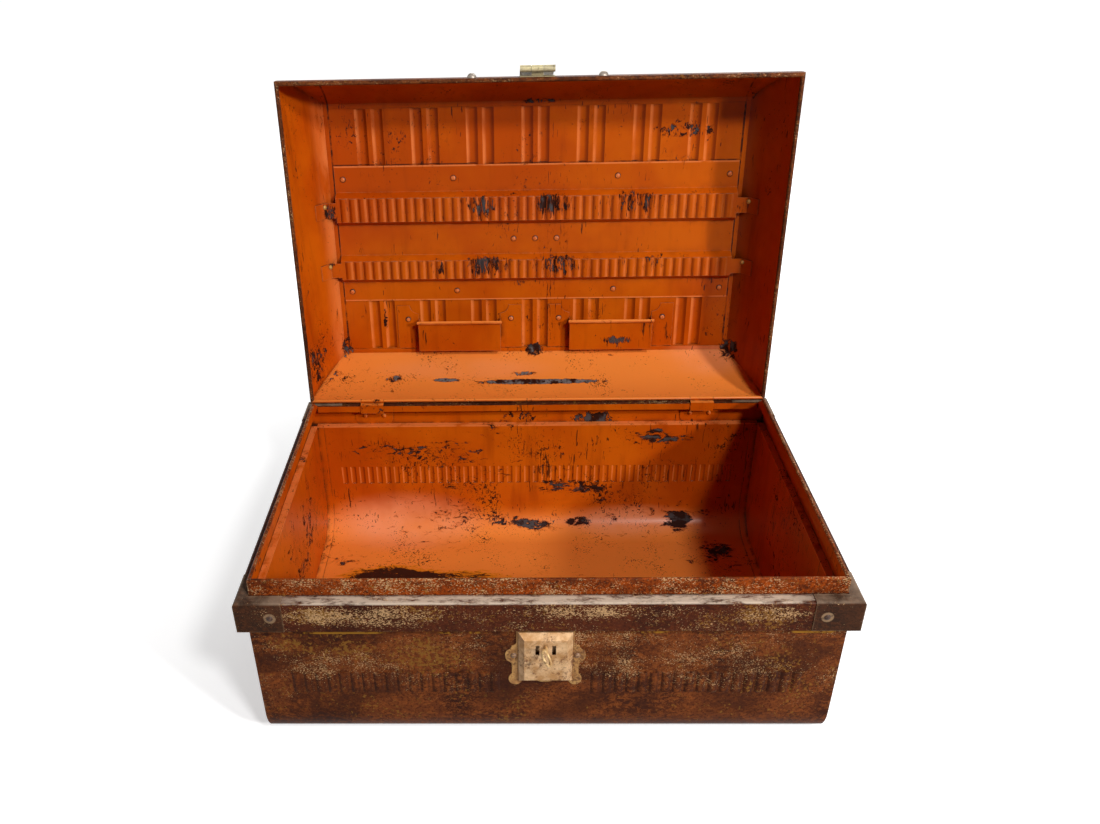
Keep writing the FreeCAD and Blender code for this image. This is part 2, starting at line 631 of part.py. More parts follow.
def build_end_panel(side):
    """Flat end panel with a flange lapped inside the wrap and a turned-out top edge."""
    sign = SIDES[side]
    body = new_body(f"base_end_{side}")
    plane_offset = f"{sign} * (half_x - sheet_gauge)"
    plate = new_sketch(body, "YZ_Plane", plane_offset)
    outline(plate, u_outline("0", "flange_top"))
    pad(body, plate, "sheet_gauge", backwards=sign < 0)
    edge = new_sketch(body, "XZ_Plane")
    outline(edge, box_points(f"{sign} * (half_x - sheet_gauge)", "flange_under",
                             f"{sign} * (half_x + wrap_flange)", "flange_top"))
    pad(body, edge, "trunk_depth", symmetric=True)
    lap = new_sketch(body, "YZ_Plane", plane_offset)
    outline(lap, u_outline("sheet_gauge + fit_gap", "collar_bottom"))
    pad(body, lap, "end_lap", backwards=sign > 0)
    hollow = new_sketch(body, "YZ_Plane", plane_offset)
    outline(hollow, u_outline("2 * sheet_gauge + fit_gap", "flange_top"))
    pocket(body, hollow, "end_lap", backwards=sign < 0)


def build_corner_cap(end, side):
    """Sheet folded over the band and its ledge and round one corner."""
    along = SIDES[side]
    out = ENDS[end]
    body = new_body(f"corner_cap_{end}_{side}")
    section = new_sketch(body, "YZ_Plane", f"{along} * (half_x + band_proud - cap_arm)")
    profile = [
        ("band_proud", "collar_bottom"),
        ("band_proud + cap_gauge", "collar_bottom"),
        ("band_proud + cap_gauge", "ledge - shoulder_bend"),
        ("band_proud - shoulder_bend", "ledge + cap_gauge", "shoulder_bend + cap_gauge", 1),
        ("cap_margin - lip_inset", "ledge + cap_gauge"),
        ("cap_margin - lip_inset", "ledge"),
        ("band_proud - shoulder_bend", "ledge"),
        ("band_proud", "ledge - shoulder_bend", "shoulder_bend", -1),
    ]
    outline(section, strip_outline(profile, out, "half_y"))
    path = new_sketch(body, "XY_Plane", "collar_bottom")
    corners = [
        (f"{along} * (half_x + band_proud - cap_arm)", f"{out} * half_y"),
        (f"{along} * half_x", f"{out} * half_y"),
        (f"{along} * half_x", f"{out} * (half_y + band_proud - cap_arm)"),
    ]
    places = [FreeCAD.Vector(value(x), value(y), 0) for x, y in corners]
    first = path.addGeometry(Part.LineSegment(places[0], places[1]), False)
    second = path.addGeometry(Part.LineSegment(places[1], places[2]), False)
    path.addConstraint(Sketcher.Constraint("Coincident", first, 2, second, 1))
    bind_vertex(path, first, 1, *corners[0])
    bind_vertex(path, first, 2, *corners[1])
    bind_vertex(path, second, 2, *corners[2])
    sweep = body.newObject("PartDesign::AdditivePipe", f"{body.Name}_sweep")
    sweep.Profile = section
    sweep.Spine = path
    sweep.Transition = "Right corner"
    doc.recompute()


def build_cap_rivets():
    """Two rivets on each corner cap."""
    heads = []
    middle = "collar_bottom + band_height / 2"
    for out in ENDS.values():
        for along in SIDES.values():
            face_y = f"{out} * (half_y + band_proud + cap_gauge)"
            face_x = f"{along} * (half_x + band_proud + cap_gauge)"
            inset_x = f"{along} * (half_x + band_proud - cap_rivet_inset)"
            inset_y = f"{out} * (half_y + band_proud - cap_rivet_inset)"
            heads.append(dome(inset_x, face_y, middle, (0, out, 0), "rivet_radius"))
            heads.append(dome(face_x, inset_y, middle, (along, 0, 0), "rivet_radius"))
    group("cap_rivets", heads)


def build_hinge_strap(side):
    """Strap from its knuckle on the lid's wire, over the back collar's inner edge, to the band's inside."""
    place = f"{SIDES[side]} * strap_place"
    body = new_body(f"hinge_strap_{side}")
    axis = "lid_half_y"
    inner = "half_y - lip_inset - sheet_gauge - fit_gap"
    band = "half_y + band_proud - sheet_gauge"
    under = "ledge - return_drop - fit_gap"
    low = "flange_top + fit_gap"
    sketch = new_sketch(body, "YZ_Plane", place)
    outline(sketch, [
        (axis, "axis_rise - knuckle"),
        (axis, "axis_rise - knuckle + strap_gauge"),
        (f"{inner} - strap_gauge", "axis_rise - knuckle + strap_gauge"),
        (f"{inner} - strap_gauge", f"{under} - strap_gauge"),
        (f"{band} - strap_gauge", f"{under} - strap_gauge"),
        (f"{band} - strap_gauge", low),
        (band, low),
        (band, under),
        (inner, under),
        (inner, "axis_rise - knuckle"),
    ])
    pad(body, sketch, "strap_width", symmetric=True)
    ring = new_sketch(body, "YZ_Plane", place)
    circle(ring, axis, "axis_rise", "knuckle")
    pad(body, ring, "strap_width", symmetric=True)
    half = "strap_plate_width / 2"
    plate = new_sketch(body, "XZ_Plane", f"-({band})")
    outline(plate, [
        (f"{place} - {half}", under),
        (f"{place} - {half}", f"{low} + strap_corner"),
        (f"{place} - {half} + strap_corner", low, "strap_corner", 1),
        (f"{place} + {half} - strap_corner", low),
        (f"{place} + {half}", f"{low} + strap_corner", "strap_corner", 1),
        (f"{place} + {half}", under),
    ])
    pad(body, plate, "strap_gauge")
    bore = new_sketch(body, "YZ_Plane", place)
    circle(bore, axis, "axis_rise", "wire_radius + running_fit")
    pocket(body, bore)


def build_hinge_rivets():
    """Two rivets through each strap's plate."""
    heads = []
    face = "half_y + band_proud - sheet_gauge - strap_gauge"
    height = "(ledge - return_drop + flange_top) / 2"
    for along in SIDES.values():
        for step in (-1, 1):
            x = f"{along} * strap_place + {step} * strap_plate_width / 4"
            heads.append(dome(x, face, height, (0, -1, 0), "rivet_radius"))
    group("hinge_rivets", heads)


def build_lock_plate():
    """Brass plate of the lock, flat on the base's front, with wings, lower lobes and a middle drop."""
    body = new_body("lock_plate")
    sketch = new_sketch(body, "XZ_Plane", "half_y")
    side = "case_width / 2 + plate_margin"
    shoulder = f"{side} + wing_step"
    lobe = "lock_bottom + lobe_radius"
    foot = "lock_top - case_height - plate_margin"
    inner = "lobe_place - lobe_radius + plate_margin"
    right = [
        (side, "lock_top"),
        (side, "case_middle + wing_half"),
        (shoulder, "case_middle + wing_half - wing_step", "wing_step", 1),
        ("lock_half", "case_middle + wing_tip", "wing_hollow", 1),
        ("lock_half", "case_middle - wing_tip", "2 * wing_tip", -1),
        (shoulder, "case_middle - wing_half + wing_step", "wing_hollow", 1),
        (shoulder, f"{lobe} + lobe_radius"),
        ("lobe_place + lobe_radius", lobe, "lobe_radius + plate_margin", -1),
        ("lobe_place", "lock_bottom", "lobe_radius", -1),
        (inner, foot, "lobe_radius", -1),
        ("drop_half", foot),
        ("0", f"{foot} - drop_half / 4", "drop_radius", -1),
    ]
    left = []
    for index in range(len(right) - 2, -1, -1):
        left.append((f"-({right[index][0]})", right[index][1]) + right[index + 1][2:])
    outline(sketch, right + left)
    pad(body, sketch, "lock_gauge")


def build_lock_case():
    """Raised bevelled box with two staple slots and a keyhole, hollow behind."""
    body = new_body("lock_case")
    foot = new_sketch(body, "XZ_Plane", "half_y + lock_gauge")
    footprint = box_points("-case_width / 2", "lock_top - case_height", "case_width / 2", "lock_top")
    outline(foot, footprint)
    pad(body, foot, "case_foot")
    bevel = new_sketch(body, "XZ_Plane", "half_y + lock_gauge + case_foot")
    outline(bevel, footprint)
    pad(body, bevel, "case_depth - lock_gauge - case_foot", taper="-case_taper")
    hollow = new_sketch(body, "XZ_Plane", "half_y + lock_gauge")
    outline(hollow, box_points("-case_room_half", "case_middle - case_room",
                               "case_room_half", "case_middle + case_room"))
    pocket(body, hollow, "case_depth - lock_gauge - case_wall", backwards=True)
    for side in SIDES.values():
        slot = new_sketch(body, "XZ_Plane", "half_y + case_depth")
        middle = f"{side} * slot_spread / 2"
        outline(slot, box_points(f"{middle} - slot_width / 2", "slot_rise - slot_height / 2",
                                 f"{middle} + slot_width / 2", "slot_rise + slot_height / 2"))
        pocket(body, slot, "2 * case_wall")
    hole = new_sketch(body, "XZ_Plane", "half_y + case_depth")
    circle(hole, "0", "key_rise", "key_radius + key_play")
    pocket(body, hole, "2 * case_wall")
    ward = new_sketch(body, "XZ_Plane", "half_y + case_depth")
    outline(ward, box_points("-bit_width", "key_rise - bit_length - key_play", "bit_width", "key_rise"))
    pocket(body, ward, "2 * case_wall")


def build_key_post():
    """Post on the lock's plate that the hollow key turns on."""
    post = primitive("Part::Cylinder", "lock_key_post",
                     {"Radius": "key_post_radius", "Height": "key_post_reach - lock_gauge"},
                     ("0", "-half_y - lock_gauge", "key_rise"), TO_FRONT)
    post.Label = "lock_key_post"
    sub_parts.append(post)


def build_key():
    """Hollow-stemmed key with a flat bit and a ring bow."""
    tip = "bolt_front + fit_gap"
    stem = primitive("Part::Cylinder", "key_stem",
                     {"Radius": "key_radius", "Height": f"key_reach - ({tip})"},
                     ("0", f"-half_y - ({tip})", "key_rise"), TO_FRONT)
    bow = primitive("Part::Torus", "key_bow", {"Radius1": "bow_radius", "Radius2": "bow_wire"},
                    ("0", "-half_y - key_reach - bow_radius", "key_rise"), BOW_TILT)
    bit = primitive("Part::Box", "key_bit",
                    {"Length": "bit_width", "Width": "bit_depth", "Height": "bit_length - key_radius / 2"},
                    ("-bit_width / 2", f"-half_y - ({tip}) - fit_gap - bit_depth", "key_rise - bit_length"))
    bore = primitive("Part::Cylinder", "key_bore",
                     {"Radius": "key_post_radius + running_fit", "Height": f"key_post_reach - ({tip}) + fit_gap"},
                     ("0", f"-half_y - ({tip})", "key_rise"), TO_FRONT)
    joined("lock_key", [stem, bow, bit], bore)


BOLT_LOW = "(slot_rise - slot_height / 2 - bolt_margin)"
BOLT_HIGH = "(key_rise + key_post_radius + key_play + bolt_margin)"


def build_bolt():
    """Sliding plate with two tongues that pass through the staples, slotted round the key post."""
    body = new_body("lock_bolt")
    plate = new_sketch(body, "XZ_Plane", "half_y + bolt_back")
    outline(plate, box_points("bolt_margin - case_room_half", BOLT_LOW, "slot_spread / 2 + tongue_size", BOLT_HIGH))
    pad(body, plate, "bolt_gauge")
    low = "slot_rise + eye_rise - tongue_height / 2"
    high = "slot_rise + eye_rise + tongue_height / 2"
    for side in SIDES.values():
        tip = f"{side} * slot_spread / 2 - staple_thick / 2 - staple_play / 2"
        root = f"{tip} - bolt_travel - tongue_size"
        post = new_sketch(body, "XZ_Plane", "half_y + bolt_back")
        outline(post, box_points(root, low, f"{root} + tongue_size", high))
        pad(body, post, "eye_out + tongue_size / 2 - bolt_back")
        tongue = new_sketch(body, "XZ_Plane", "half_y + eye_out - tongue_size / 2")
        outline(tongue, box_points(root, low, tip, high))
        pad(body, tongue, "tongue_size")
    slot = new_sketch(body, "XZ_Plane", "half_y + bolt_back")
    play = "key_post_radius + key_play"
    outline(slot, box_points(f"-bolt_travel - ({play})", f"key_rise - ({play})", play, f"key_rise + {play}"))
    pocket(body, slot, "bolt_gauge", backwards=True)


def build_lock_spring():
    """Flat spring over the bolt, bent back to the lock's plate at one end."""
    body = new_body("lock_spring")
    low = f"{BOLT_HIGH} + fit_gap"
    high = f"{low} + bolt_gauge / 2"
    start = "bolt_margin - case_room_half"
    sketch = new_sketch(body, "XZ_Plane", "half_y + bolt_back")
    outline(sketch, box_points(start, low, "slot_spread / 2", high))
    pad(body, sketch, "bolt_gauge")
    foot = new_sketch(body, "XZ_Plane", "half_y + lock_gauge")
    outline(foot, box_points(start, low, f"{start} + bolt_margin", high))
    pad(body, foot, "bolt_gap + bolt_gauge")


def build_lock_rivets():
    """Dome rivets of the lock's wings."""
    heads = []
    for side in SIDES.values():
        x = f"{side} * (lock_half - wing_rivet_inset)"
        heads.append(dome(x, "-half_y - lock_gauge", "case_middle", (0, -1, 0), "rivet_radius"))
    group("lock_rivets", heads)


def build_handle_plate(side):
    """Plate on an end panel with two bored lugs."""
    sign = SIDES[side]
    body = new_body(f"handle_plate_{side}")
    plate = new_sketch(body, "YZ_Plane", f"{sign} * half_x")
    outline(plate, box_points("-handle_plate_width / 2", "handle_rise - handle_plate_height / 2",
                              "handle_plate_width / 2", "handle_rise + handle_plate_height / 2"))
    pad(body, plate, "handle_gauge", backwards=sign < 0)
    size = "handle_rod + lug_wall"
    for end in ENDS.values():
        near = "handle_reach + handle_rod + lug_gap"
        lug = new_sketch(body, "XZ_Plane", f"-({end}) * ({near} + lug_width / 2)")
        outline(lug, [
            (f"{sign} * half_x", f"handle_rise - ({size})"),
            (f"{sign} * handle_out", f"handle_rise - ({size})"),
            (f"{sign} * (handle_out + {size})", "handle_rise", size, sign),
            (f"{sign} * handle_out", f"handle_rise + {size}", size, sign),
            (f"{sign} * half_x", f"handle_rise + {size}"),
        ])
        pad(body, lug, "lug_width", symmetric=True)
    bore = new_sketch(body, "XZ_Plane")
    circle(bore, f"{sign} * handle_out", "handle_rise", "handle_rod + running_fit")
    pocket(body, bore)


def build_handle_bail(side):
    """Drop handle bent from a rod, with its ends turned out into the lugs."""
    sign = SIDES[side]
    body = new_body(f"handle_bail_{side}")
    path = new_sketch(body, "YZ_Plane", f"{sign} * handle_out")
    top = "handle_rise"
    low = "handle_rise - handle_drop"
    bend = "handle_bend"
    small = "handle_rod + lug_gap"
    spots = [
        ("-handle_reach - handle_stub", top),
        (f"-handle_reach - ({small})", top),
        ("-handle_reach", f"{top} - ({small})", small, -1),
        ("-handle_reach", f"{low} + {bend}"),
        (f"{bend} - handle_reach", low, bend, 1),
        (f"handle_reach - {bend}", low),
        ("handle_reach", f"{low} + {bend}", bend, 1),
        ("handle_reach", f"{top} - ({small})"),
        (f"handle_reach + {small}", top, small, -1),
        ("handle_reach + handle_stub", top),
    ]
    run(path, spots)
    section = new_sketch(body, "XZ_Plane", "handle_reach + handle_stub")
    circle(section, f"{sign} * handle_out", top, "handle_rod")
    sweep = body.newObject("PartDesign::AdditivePipe", f"{body.Name}_sweep")
    sweep.Profile = section
    sweep.Spine = path
    doc.recompute()


def build_handle_rivets():
    """Four rivets in each handle plate."""
    heads = []
    for sign in SIDES.values():
        for end in ENDS.values():
            for step in (-1, 1):
                y = f"{end} * handle_reach / 2"
                z = f"handle_rise + {step} * handle_plate_height / 4"
                heads.append(dome(f"{sign} * (half_x + handle_gauge)", y, z, (sign, 0, 0), "rivet_radius"))
    group("handle_rivets", heads)


def build_lid_back_wall():
    """Back wall of the lid, its rolled edge bored for the hinge wire and notched for the straps."""
    body = mitred_strip("lid_back_wall", "back", "lid_half_x", "lid_half_y", lid_wall_profile(),
                        "2 * bead", "lid_cove + 2 * lid_flange")
    bore = new_sketch(body, "YZ_Plane")
    circle(bore, "lid_half_y", "0", "wire_radius + running_fit")
    pocket(body, bore)
    clear = "knuckle + lid_seat"
    for side in SIDES.values():
        notch = new_sketch(body, "XY_Plane", f"-({clear})")
        half = "strap_width / 2 + notch_play"
        outline(notch, box_points(f"{side} * strap_place - ({half})", f"lid_half_y - ({clear})",
                                  f"{side} * strap_place + {half}", f"lid_half_y + {clear}"))
        pocket(body, notch, f"2 * ({clear})", backwards=True)
    swing_with_lid(body)


def build_lid_walls():
    """The other three walls of the lid."""
    names = {"front": "lid_front_wall", "left": "lid_end_left", "right": "lid_end_right"}
    for side, label in names.items():
        body = mitred_strip(label, side, "lid_half_x", "lid_half_y", lid_wall_profile(),
                            "2 * bead", "lid_cove + 2 * lid_flange")
        swing_with_lid(body)


def build_hinge_wire():
    """Wire in the lid's back edge, which the straps turn on."""
    wire = primitive("Part::Cylinder", "hinge_wire_rod",
                     {"Radius": "wire_radius", "Height": "2 * (lid_half_x - bead)"},
                     ("bead - lid_half_x", "lid_half_y", "0"), ACROSS)
    swing_with_lid(group("hinge_wire", [wire]))


def build_top_panel():
    """Flat top panel with pairs of pressed ribs running from front to back."""
    body = new_body("lid_top_panel")
    plate = new_sketch(body, "XY_Plane", "lid_rise")
    outline(plate, box_points("-panel_half_x", "-panel_half_y", "panel_half_x", "panel_half_y"))
    pad(body, plate, "sheet_gauge")
    first = "-rib_pitch * (rib_count - 1) / 2"
    arch = "(rib_width ^ 2 / 4 + rib_height ^ 2) / (2 * rib_height)"
    length = "2 * (panel_half_y - rib_margin)"
    ribs = []
    for step in (-1, 1):
        middle = f"{first} + {step} * rib_spread / 2"
        ridge = new_sketch(body, "XZ_Plane")
        outline(ridge, [
            (f"{middle} - rib_width / 2", "lid_rise + sheet_gauge / 2"),
            (f"{middle} - rib_width / 2", "lid_rise + sheet_gauge"),
            (f"{middle} + rib_width / 2", "lid_rise + sheet_gauge", arch, -1),
            (f"{middle} + rib_width / 2", "lid_rise + sheet_gauge / 2"),
        ])
        ribs.append(pad(body, ridge, length, symmetric=True))
        groove = new_sketch(body, "XZ_Plane", f"-({length}) / 2")
        outline(groove, [
            (f"{middle} - rib_width / 2 + sheet_gauge", "lid_rise"),
            (f"{middle} + rib_width / 2 - sheet_gauge", "lid_rise", f"({arch}) - sheet_gauge / 2", -1),
        ])
        ribs.append(pocket(body, groove, length, backwards=True))
    repeat_across(body, ribs, "rib_pitch", "rib_count")
    swing_with_lid(body)


def build_stiffener():
    """One pressed sheet across the lid: three flat straps and two raised fluted bands with end tabs."""
    body = new_body("lid_stiffener")
    crest = "lid_rise - band_raise"
    feet = [("front_band_start", "front_band_end"), ("back_band_start", "back_band_end")]
    upper = [("stiffener_front", "lid_rise")]
    for start, end in feet:
        upper.append((start, "lid_rise"))
        upper.append((f"{start} - band_slope", crest))
        upper.append((f"{end} + band_slope", crest))
        upper.append((end, "lid_rise"))
    upper.append(("stiffener_back", "lid_rise"))
    under = [(place, f"{height} - sheet_gauge") for place, height in reversed(upper)]
    sheet_outline = new_sketch(body, "YZ_Plane")
    outline(sheet_outline, [(f"-({place})", height) for place, height in upper + under])
    pad(body, sheet_outline, "2 * stiffener_half", symmetric=True)
    face = f"{crest} - sheet_gauge"
    arch = "(flute_width ^ 2 / 4 + flute_height ^ 2) / (2 * flute_height)"
    first = "-flute_pitch * (flute_count - 1) / 2"
    flutes = []
    for start, end in feet:
        middle = f"({start} + {end}) / 2"
        flute = new_sketch(body, "XZ_Plane", middle)
        outline(flute, [
            (f"{first} + flute_width / 2", f"{crest} - sheet_gauge / 2"),
            (f"{first} - flute_width / 2", f"{crest} - sheet_gauge / 2"),
            (f"{first} - flute_width / 2", face),
            (f"{first} + flute_width / 2", face, arch, 1),
        ])
        flutes.append(pad(body, flute, f"{start} - ({end}) - 2 * (band_slope + flute_margin)", symmetric=True))
    repeat_across(body, flutes, "flute_pitch", "flute_count")
    outer = "(cove_radius - sheet_gauge - fit_gap)"
    inner = "(cove_radius - 2 * sheet_gauge - fit_gap)"
    arc_middle = "lid_half_x + bead - cove_radius"

    def on_arc(radius, height):
        return f"{arc_middle} + sqrt({radius} ^ 2 - ({height} - rim_skirt) ^ 2)"

    leg = f"{crest} - tab_drop"
    for start, end in feet:
        for sign in SIDES.values():
            tab = new_sketch(body, "XZ_Plane", f"({start} + {end}) / 2")
            profile = [
                ("stiffener_half - tab_root", crest),
                (on_arc(outer, crest), crest),
                (on_arc(outer, leg), leg, outer, -1),
                (on_arc(inner, leg), leg),
                (on_arc(inner, face), face, inner, 1),
                ("stiffener_half - tab_root", face),
            ]
            points = []
            for point in profile:
                bend = (point[2], point[3] * sign) if len(point) == 4 else ()
                points.append((f"{sign} * ({point[0]})", point[1]) + bend)
            outline(tab, points)
            pad(body, tab, "tab_width", symmetric=True)
    swing_with_lid(body)


def build_stiffener_rivets():
    """Rivet heads along the three straps of the stiffener."""
    heads = []
    outer = "stiffener_half - outer_rivet_inset"
    spread = [f"-({outer})", "-inner_rivet_place", "inner_rivet_place", outer]
    close = ["-middle_rivet_pitch", "0", "middle_rivet_pitch"]
    straps = [("stiffener_front", "front_band_start", spread),
              ("front_band_end", "back_band_start", close),
              ("back_band_end", "stiffener_back", spread)]
    for start, end, places in straps:
        for place in places:
            heads.append(dome(place, f"-({start} + {end}) / 2", "lid_rise - sheet_gauge", (0, 0, -1),
                              "small_rivet_radius"))
    swing_with_lid(group("stiffener_rivets", heads))


def build_pocket(side):
    """Pressed pocket with an ear at each side, its mouth towards the front of the lid."""
    middle = f"{SIDES[side]} * pocket_place"
    body = new_body(f"pocket_{side}")
    cup = "pocket_width / 2"
    ear = "pocket_width / 2 + ear_width"
    front = "lid_rise - pocket_proud"
    section = new_sketch(body, "XZ_Plane", "-pocket_mouth")
    hat = [
        (f"-({ear})", "lid_rise"),
        (f"-({ear})", "lid_rise - sheet_gauge"),
        (f"-({cup})", "lid_rise - sheet_gauge"),
        (f"-({cup})", front),
        (cup, front),
        (cup, "lid_rise - sheet_gauge"),
        (ear, "lid_rise - sheet_gauge"),
        (ear, "lid_rise"),
        (f"{cup} - sheet_gauge", "lid_rise"),
        (f"{cup} - sheet_gauge", f"{front} + sheet_gauge"),
        (f"sheet_gauge - {cup}", f"{front} + sheet_gauge"),
        (f"sheet_gauge - {cup}", "lid_rise"),
    ]
    outline(section, [(f"{middle} + {across}", up) for across, up in hat])
    pad(body, section, "pocket_floor - pocket_mouth", backwards=True)
    for hand in SIDES.values():
        lobe = new_sketch(body, "XY_Plane", "lid_rise")
        corner = f"{middle} + {hand} * ({cup})"
        far = f"{middle} + {hand} * ({ear})"
        high = "pocket_mouth - ear_rise"
        outline(lobe, [
            (far, "pocket_mouth"),
            (far, high),
            (f"{corner} + {hand} * ear_corner", high),
            (corner, f"{high} + ear_corner", "ear_corner", hand),
            (corner, "pocket_mouth"),
        ])
        pad(body, lobe, "sheet_gauge", backwards=True)
    floor = new_sketch(body, "XZ_Plane", "-pocket_floor")
    outline(floor, box_points(f"{middle} - {cup}", front, f"{middle} + {cup}", "lid_rise"))
    pad(body, floor, "sheet_gauge")
    rim = new_sketch(body, "YZ_Plane", middle)
    circle(rim, "pocket_mouth + pocket_rim / 2", f"{front} + sheet_gauge - pocket_rim", "pocket_rim")
    pad(body, rim, "pocket_width", symmetric=True)
    swing_with_lid(body)


def build_pocket_rivets():
    """A rivet in each ear of the pockets."""
    heads = []
    for side in SIDES.values():
        for hand in SIDES.values():
            x = f"{side} * pocket_place + {hand} * (pocket_width + ear_width) / 2"
            heads.append(dome(x, "pocket_mouth", "lid_rise - sheet_gauge", (0, 0, -1), "small_rivet_radius"))
    swing_with_lid(group("pocket_rivets", heads))


def build_lid_studs():
    """Two dome studs on the lid's front wall, beside the hasp."""
    heads = []
    for side in SIDES.values():
        heads.append(dome(f"{side} * stud_place", "-lid_half_y - bead", "stud_rise", (0, -1, 0),
                          "stud_radius", STUD_LATITUDE))
    swing_with_lid(group("lid_studs", heads))


def build_hasp_leaf():
    """Leaf of the hasp, curved to the lid's front wall, with the middle knuckle."""
    body = new_body("hasp_leaf")
    out = "lid_half_y + bead + leaf_seat"
    inner = "(cove_radius + leaf_seat)"
    outer = "(cove_radius + leaf_seat + leaf_gauge)"
    arc_middle = f"{out} - {inner}"
    top = "rim_skirt + leaf_length"
    leaf = new_sketch(body, "YZ_Plane")
    outline(leaf, [
        (f"-({out})", "leaf_foot"),
        (f"-({out})", "rim_skirt"),
        (f"-({arc_middle} + sqrt({inner} ^ 2 - leaf_length ^ 2))", top, inner, -1),
        (f"-({arc_middle} + sqrt({outer} ^ 2 - leaf_length ^ 2))", top),
        (f"-({out} + leaf_gauge)", "rim_skirt", outer, 1),
        (f"-({out} + leaf_gauge)", "leaf_foot"),
    ])
    pad(body, leaf, "hasp_width", symmetric=True)
    knuckle = new_sketch(body, "YZ_Plane")
    circle(knuckle, "-hasp_place", "hasp_rise", "hasp_knuckle")
    pad(body, knuckle, "hasp_middle", symmetric=True)
    web = new_sketch(body, "YZ_Plane")
    outline(web, box_points("-hasp_place", "hasp_rise + hasp_pin_radius + running_fit",
                            f"-({out})", "hasp_rise + hasp_knuckle"))
    pad(body, web, "hasp_middle", symmetric=True)
    bore = new_sketch(body, "YZ_Plane")
    circle(bore, "-hasp_place", "hasp_rise", "hasp_pin_radius + running_fit")
    pocket(body, bore)
    swing_with_lid(body)


def build_hasp_pin():
    """Pin through the knuckles of the hasp."""
    pin = primitive("Part::Cylinder", "hasp_pin_rod",
                    {"Radius": "hasp_pin_radius", "Height": "hasp_width"},
                    ("-hasp_width / 2", "-hasp_place", "hasp_rise"), ACROSS)
    swing_with_lid(group("hasp_pin", [pin]))


def build_hasp_rivets():
    """Two rivets that hold the leaf to the lid."""
    heads = []
    height = "rim_skirt + leaf_rivet_rise"
    outer = "(cove_radius + leaf_seat + leaf_gauge)"
    slope = f"sqrt({outer} ^ 2 - leaf_rivet_rise ^ 2)"
    tilt = math.asin(value(f"leaf_rivet_rise / {outer}"))
    for side in SIDES.values():
        heads.append(dome(f"{side} * hasp_width / 4", f"cove_radius - lid_half_y - bead - {slope}", height,
                          (0, -math.cos(tilt), math.sin(tilt)), "leaf_rivet_radius"))
    swing_with_lid(group("hasp_rivets", heads))


def build_hasp_flap():
    """Flap with two outer knuckles and two eyed staples, drawn hanging from its pin."""
    body = new_body("hasp_flap")
    half = "hasp_width / 2"
    free = "hasp_middle / 2 + hasp_side_play"
    plate = new_sketch(body, "XZ_Plane", "-hasp_knuckle")
    outline(plate, [
        (f"-{half}", "0"),
        (f"-{half}", "-hasp_length"),
        ("-key_gate / 2", "-hasp_length"),
        ("-key_gate / 2", "key_gate_depth - hasp_length"),
        ("key_gate / 2", "key_gate_depth - hasp_length"),
        ("key_gate / 2", "-hasp_length"),
        (half, "-hasp_length"),
        (half, "0"),
        (free, "0"),
        (free, "-hasp_notch"),
        (f"-({free})", "-hasp_notch"),
        (f"-({free})", "0"),
    ])
    pad(body, plate, "hasp_gauge")
    for side in SIDES.values():
        middle = f"{side} * ({half} + {free}) / 2"
        ring = new_sketch(body, "YZ_Plane", middle)
        circle(ring, "0", "0", "hasp_knuckle")
        pad(body, ring, f"{half} - ({free})", symmetric=True)
        staple = new_sketch(body, "YZ_Plane", f"{side} * slot_spread / 2")
        outline(staple, box_points("hasp_knuckle - hasp_gauge / 2", "-staple_drop - staple_tall / 2",
                                   "hasp_knuckle + staple_reach", "-staple_drop + staple_tall / 2"))
        pad(body, staple, "staple_thick", symmetric=True)
    bore = new_sketch(body, "YZ_Plane")
    circle(bore, "0", "0", "hasp_pin_radius + running_fit")
    pocket(body, bore)
    eye = new_sketch(body, "YZ_Plane")
    eye_y = "hasp_out - eye_out"
    deep = "tongue_size / 2 + eye_play"
    tall = "tongue_height / 2 + eye_play"
    outline(eye, box_points(f"{eye_y} - ({deep})", f"eye_rise - staple_drop - ({tall})",
                            f"{eye_y} + {deep}", f"eye_rise - staple_drop + {tall}"))
    pocket(body, eye)
    body.Placement = FreeCAD.Placement(FreeCAD.Vector(), FreeCAD.Rotation(FreeCAD.Vector(1, 0, 0), -1))
    body.setExpression("Placement.Rotation.Angle", formula("-(lid_open + hasp_fold) * 1deg"))
    arm = "(lid_half_y + hasp_place)"
    body.setExpression("Placement.Base.y",
                       formula(f"lid_half_y - {arm} * cos(lid_open) + hasp_rise * sin(lid_open)"))
    body.setExpression("Placement.Base.z",
                       formula(f"axis_rise + {arm} * sin(lid_open) + hasp_rise * cos(lid_open)"))


def slope_lip(body):
    """Cut the back end of a side lip down to the ledge, clear of the lid's back edge."""
    low = "ledge + cap_gauge + fit_gap"
    high = "lip_top + hem_radius"
    start = "half_y - lip_inset - lip_slope"
    end = "half_y + band_proud + hem_radius"
    cut = new_sketch(body, "YZ_Plane")
    outline(cut, [(start, "lip_top"), ("half_y - lip_inset", low), (end, low), (end, high), (start, high)])
    pocket(body, cut)


def build_collar():
    """The four mitred strips of the collar."""
    for side in ("front", "back", "left", "right"):
        body = mitred_strip(f"collar_{side}", side, "half_x", "half_y", collar_profile(side != "back"),
                            "band_proud + hem_radius", "lip_inset + 4 * hem_radius")
        if side in SIDES:
            slope_lip(body)


def check_and_write():
    """Stop on any failed object or bad shape, then write each sub-part to its file."""
    doc.recompute()
    for item in doc.Objects:
        if "Invalid" in item.State or "Error" in item.State:
            raise RuntimeError(f"{item.Label} failed: {item.State}")
    for item in sub_parts:
        if item.Shape.isNull() or not item.Shape.isValid():
            raise RuntimeError(f"{item.Label} has a bad shape")
    os.makedirs("parts", exist_ok=True)
    for item in sub_parts:
        item.Shape.exportStep(f"parts/{item.Label}.step")
        print(item.Label, len(item.Shape.Solids), round(item.Shape.Volume, 2))


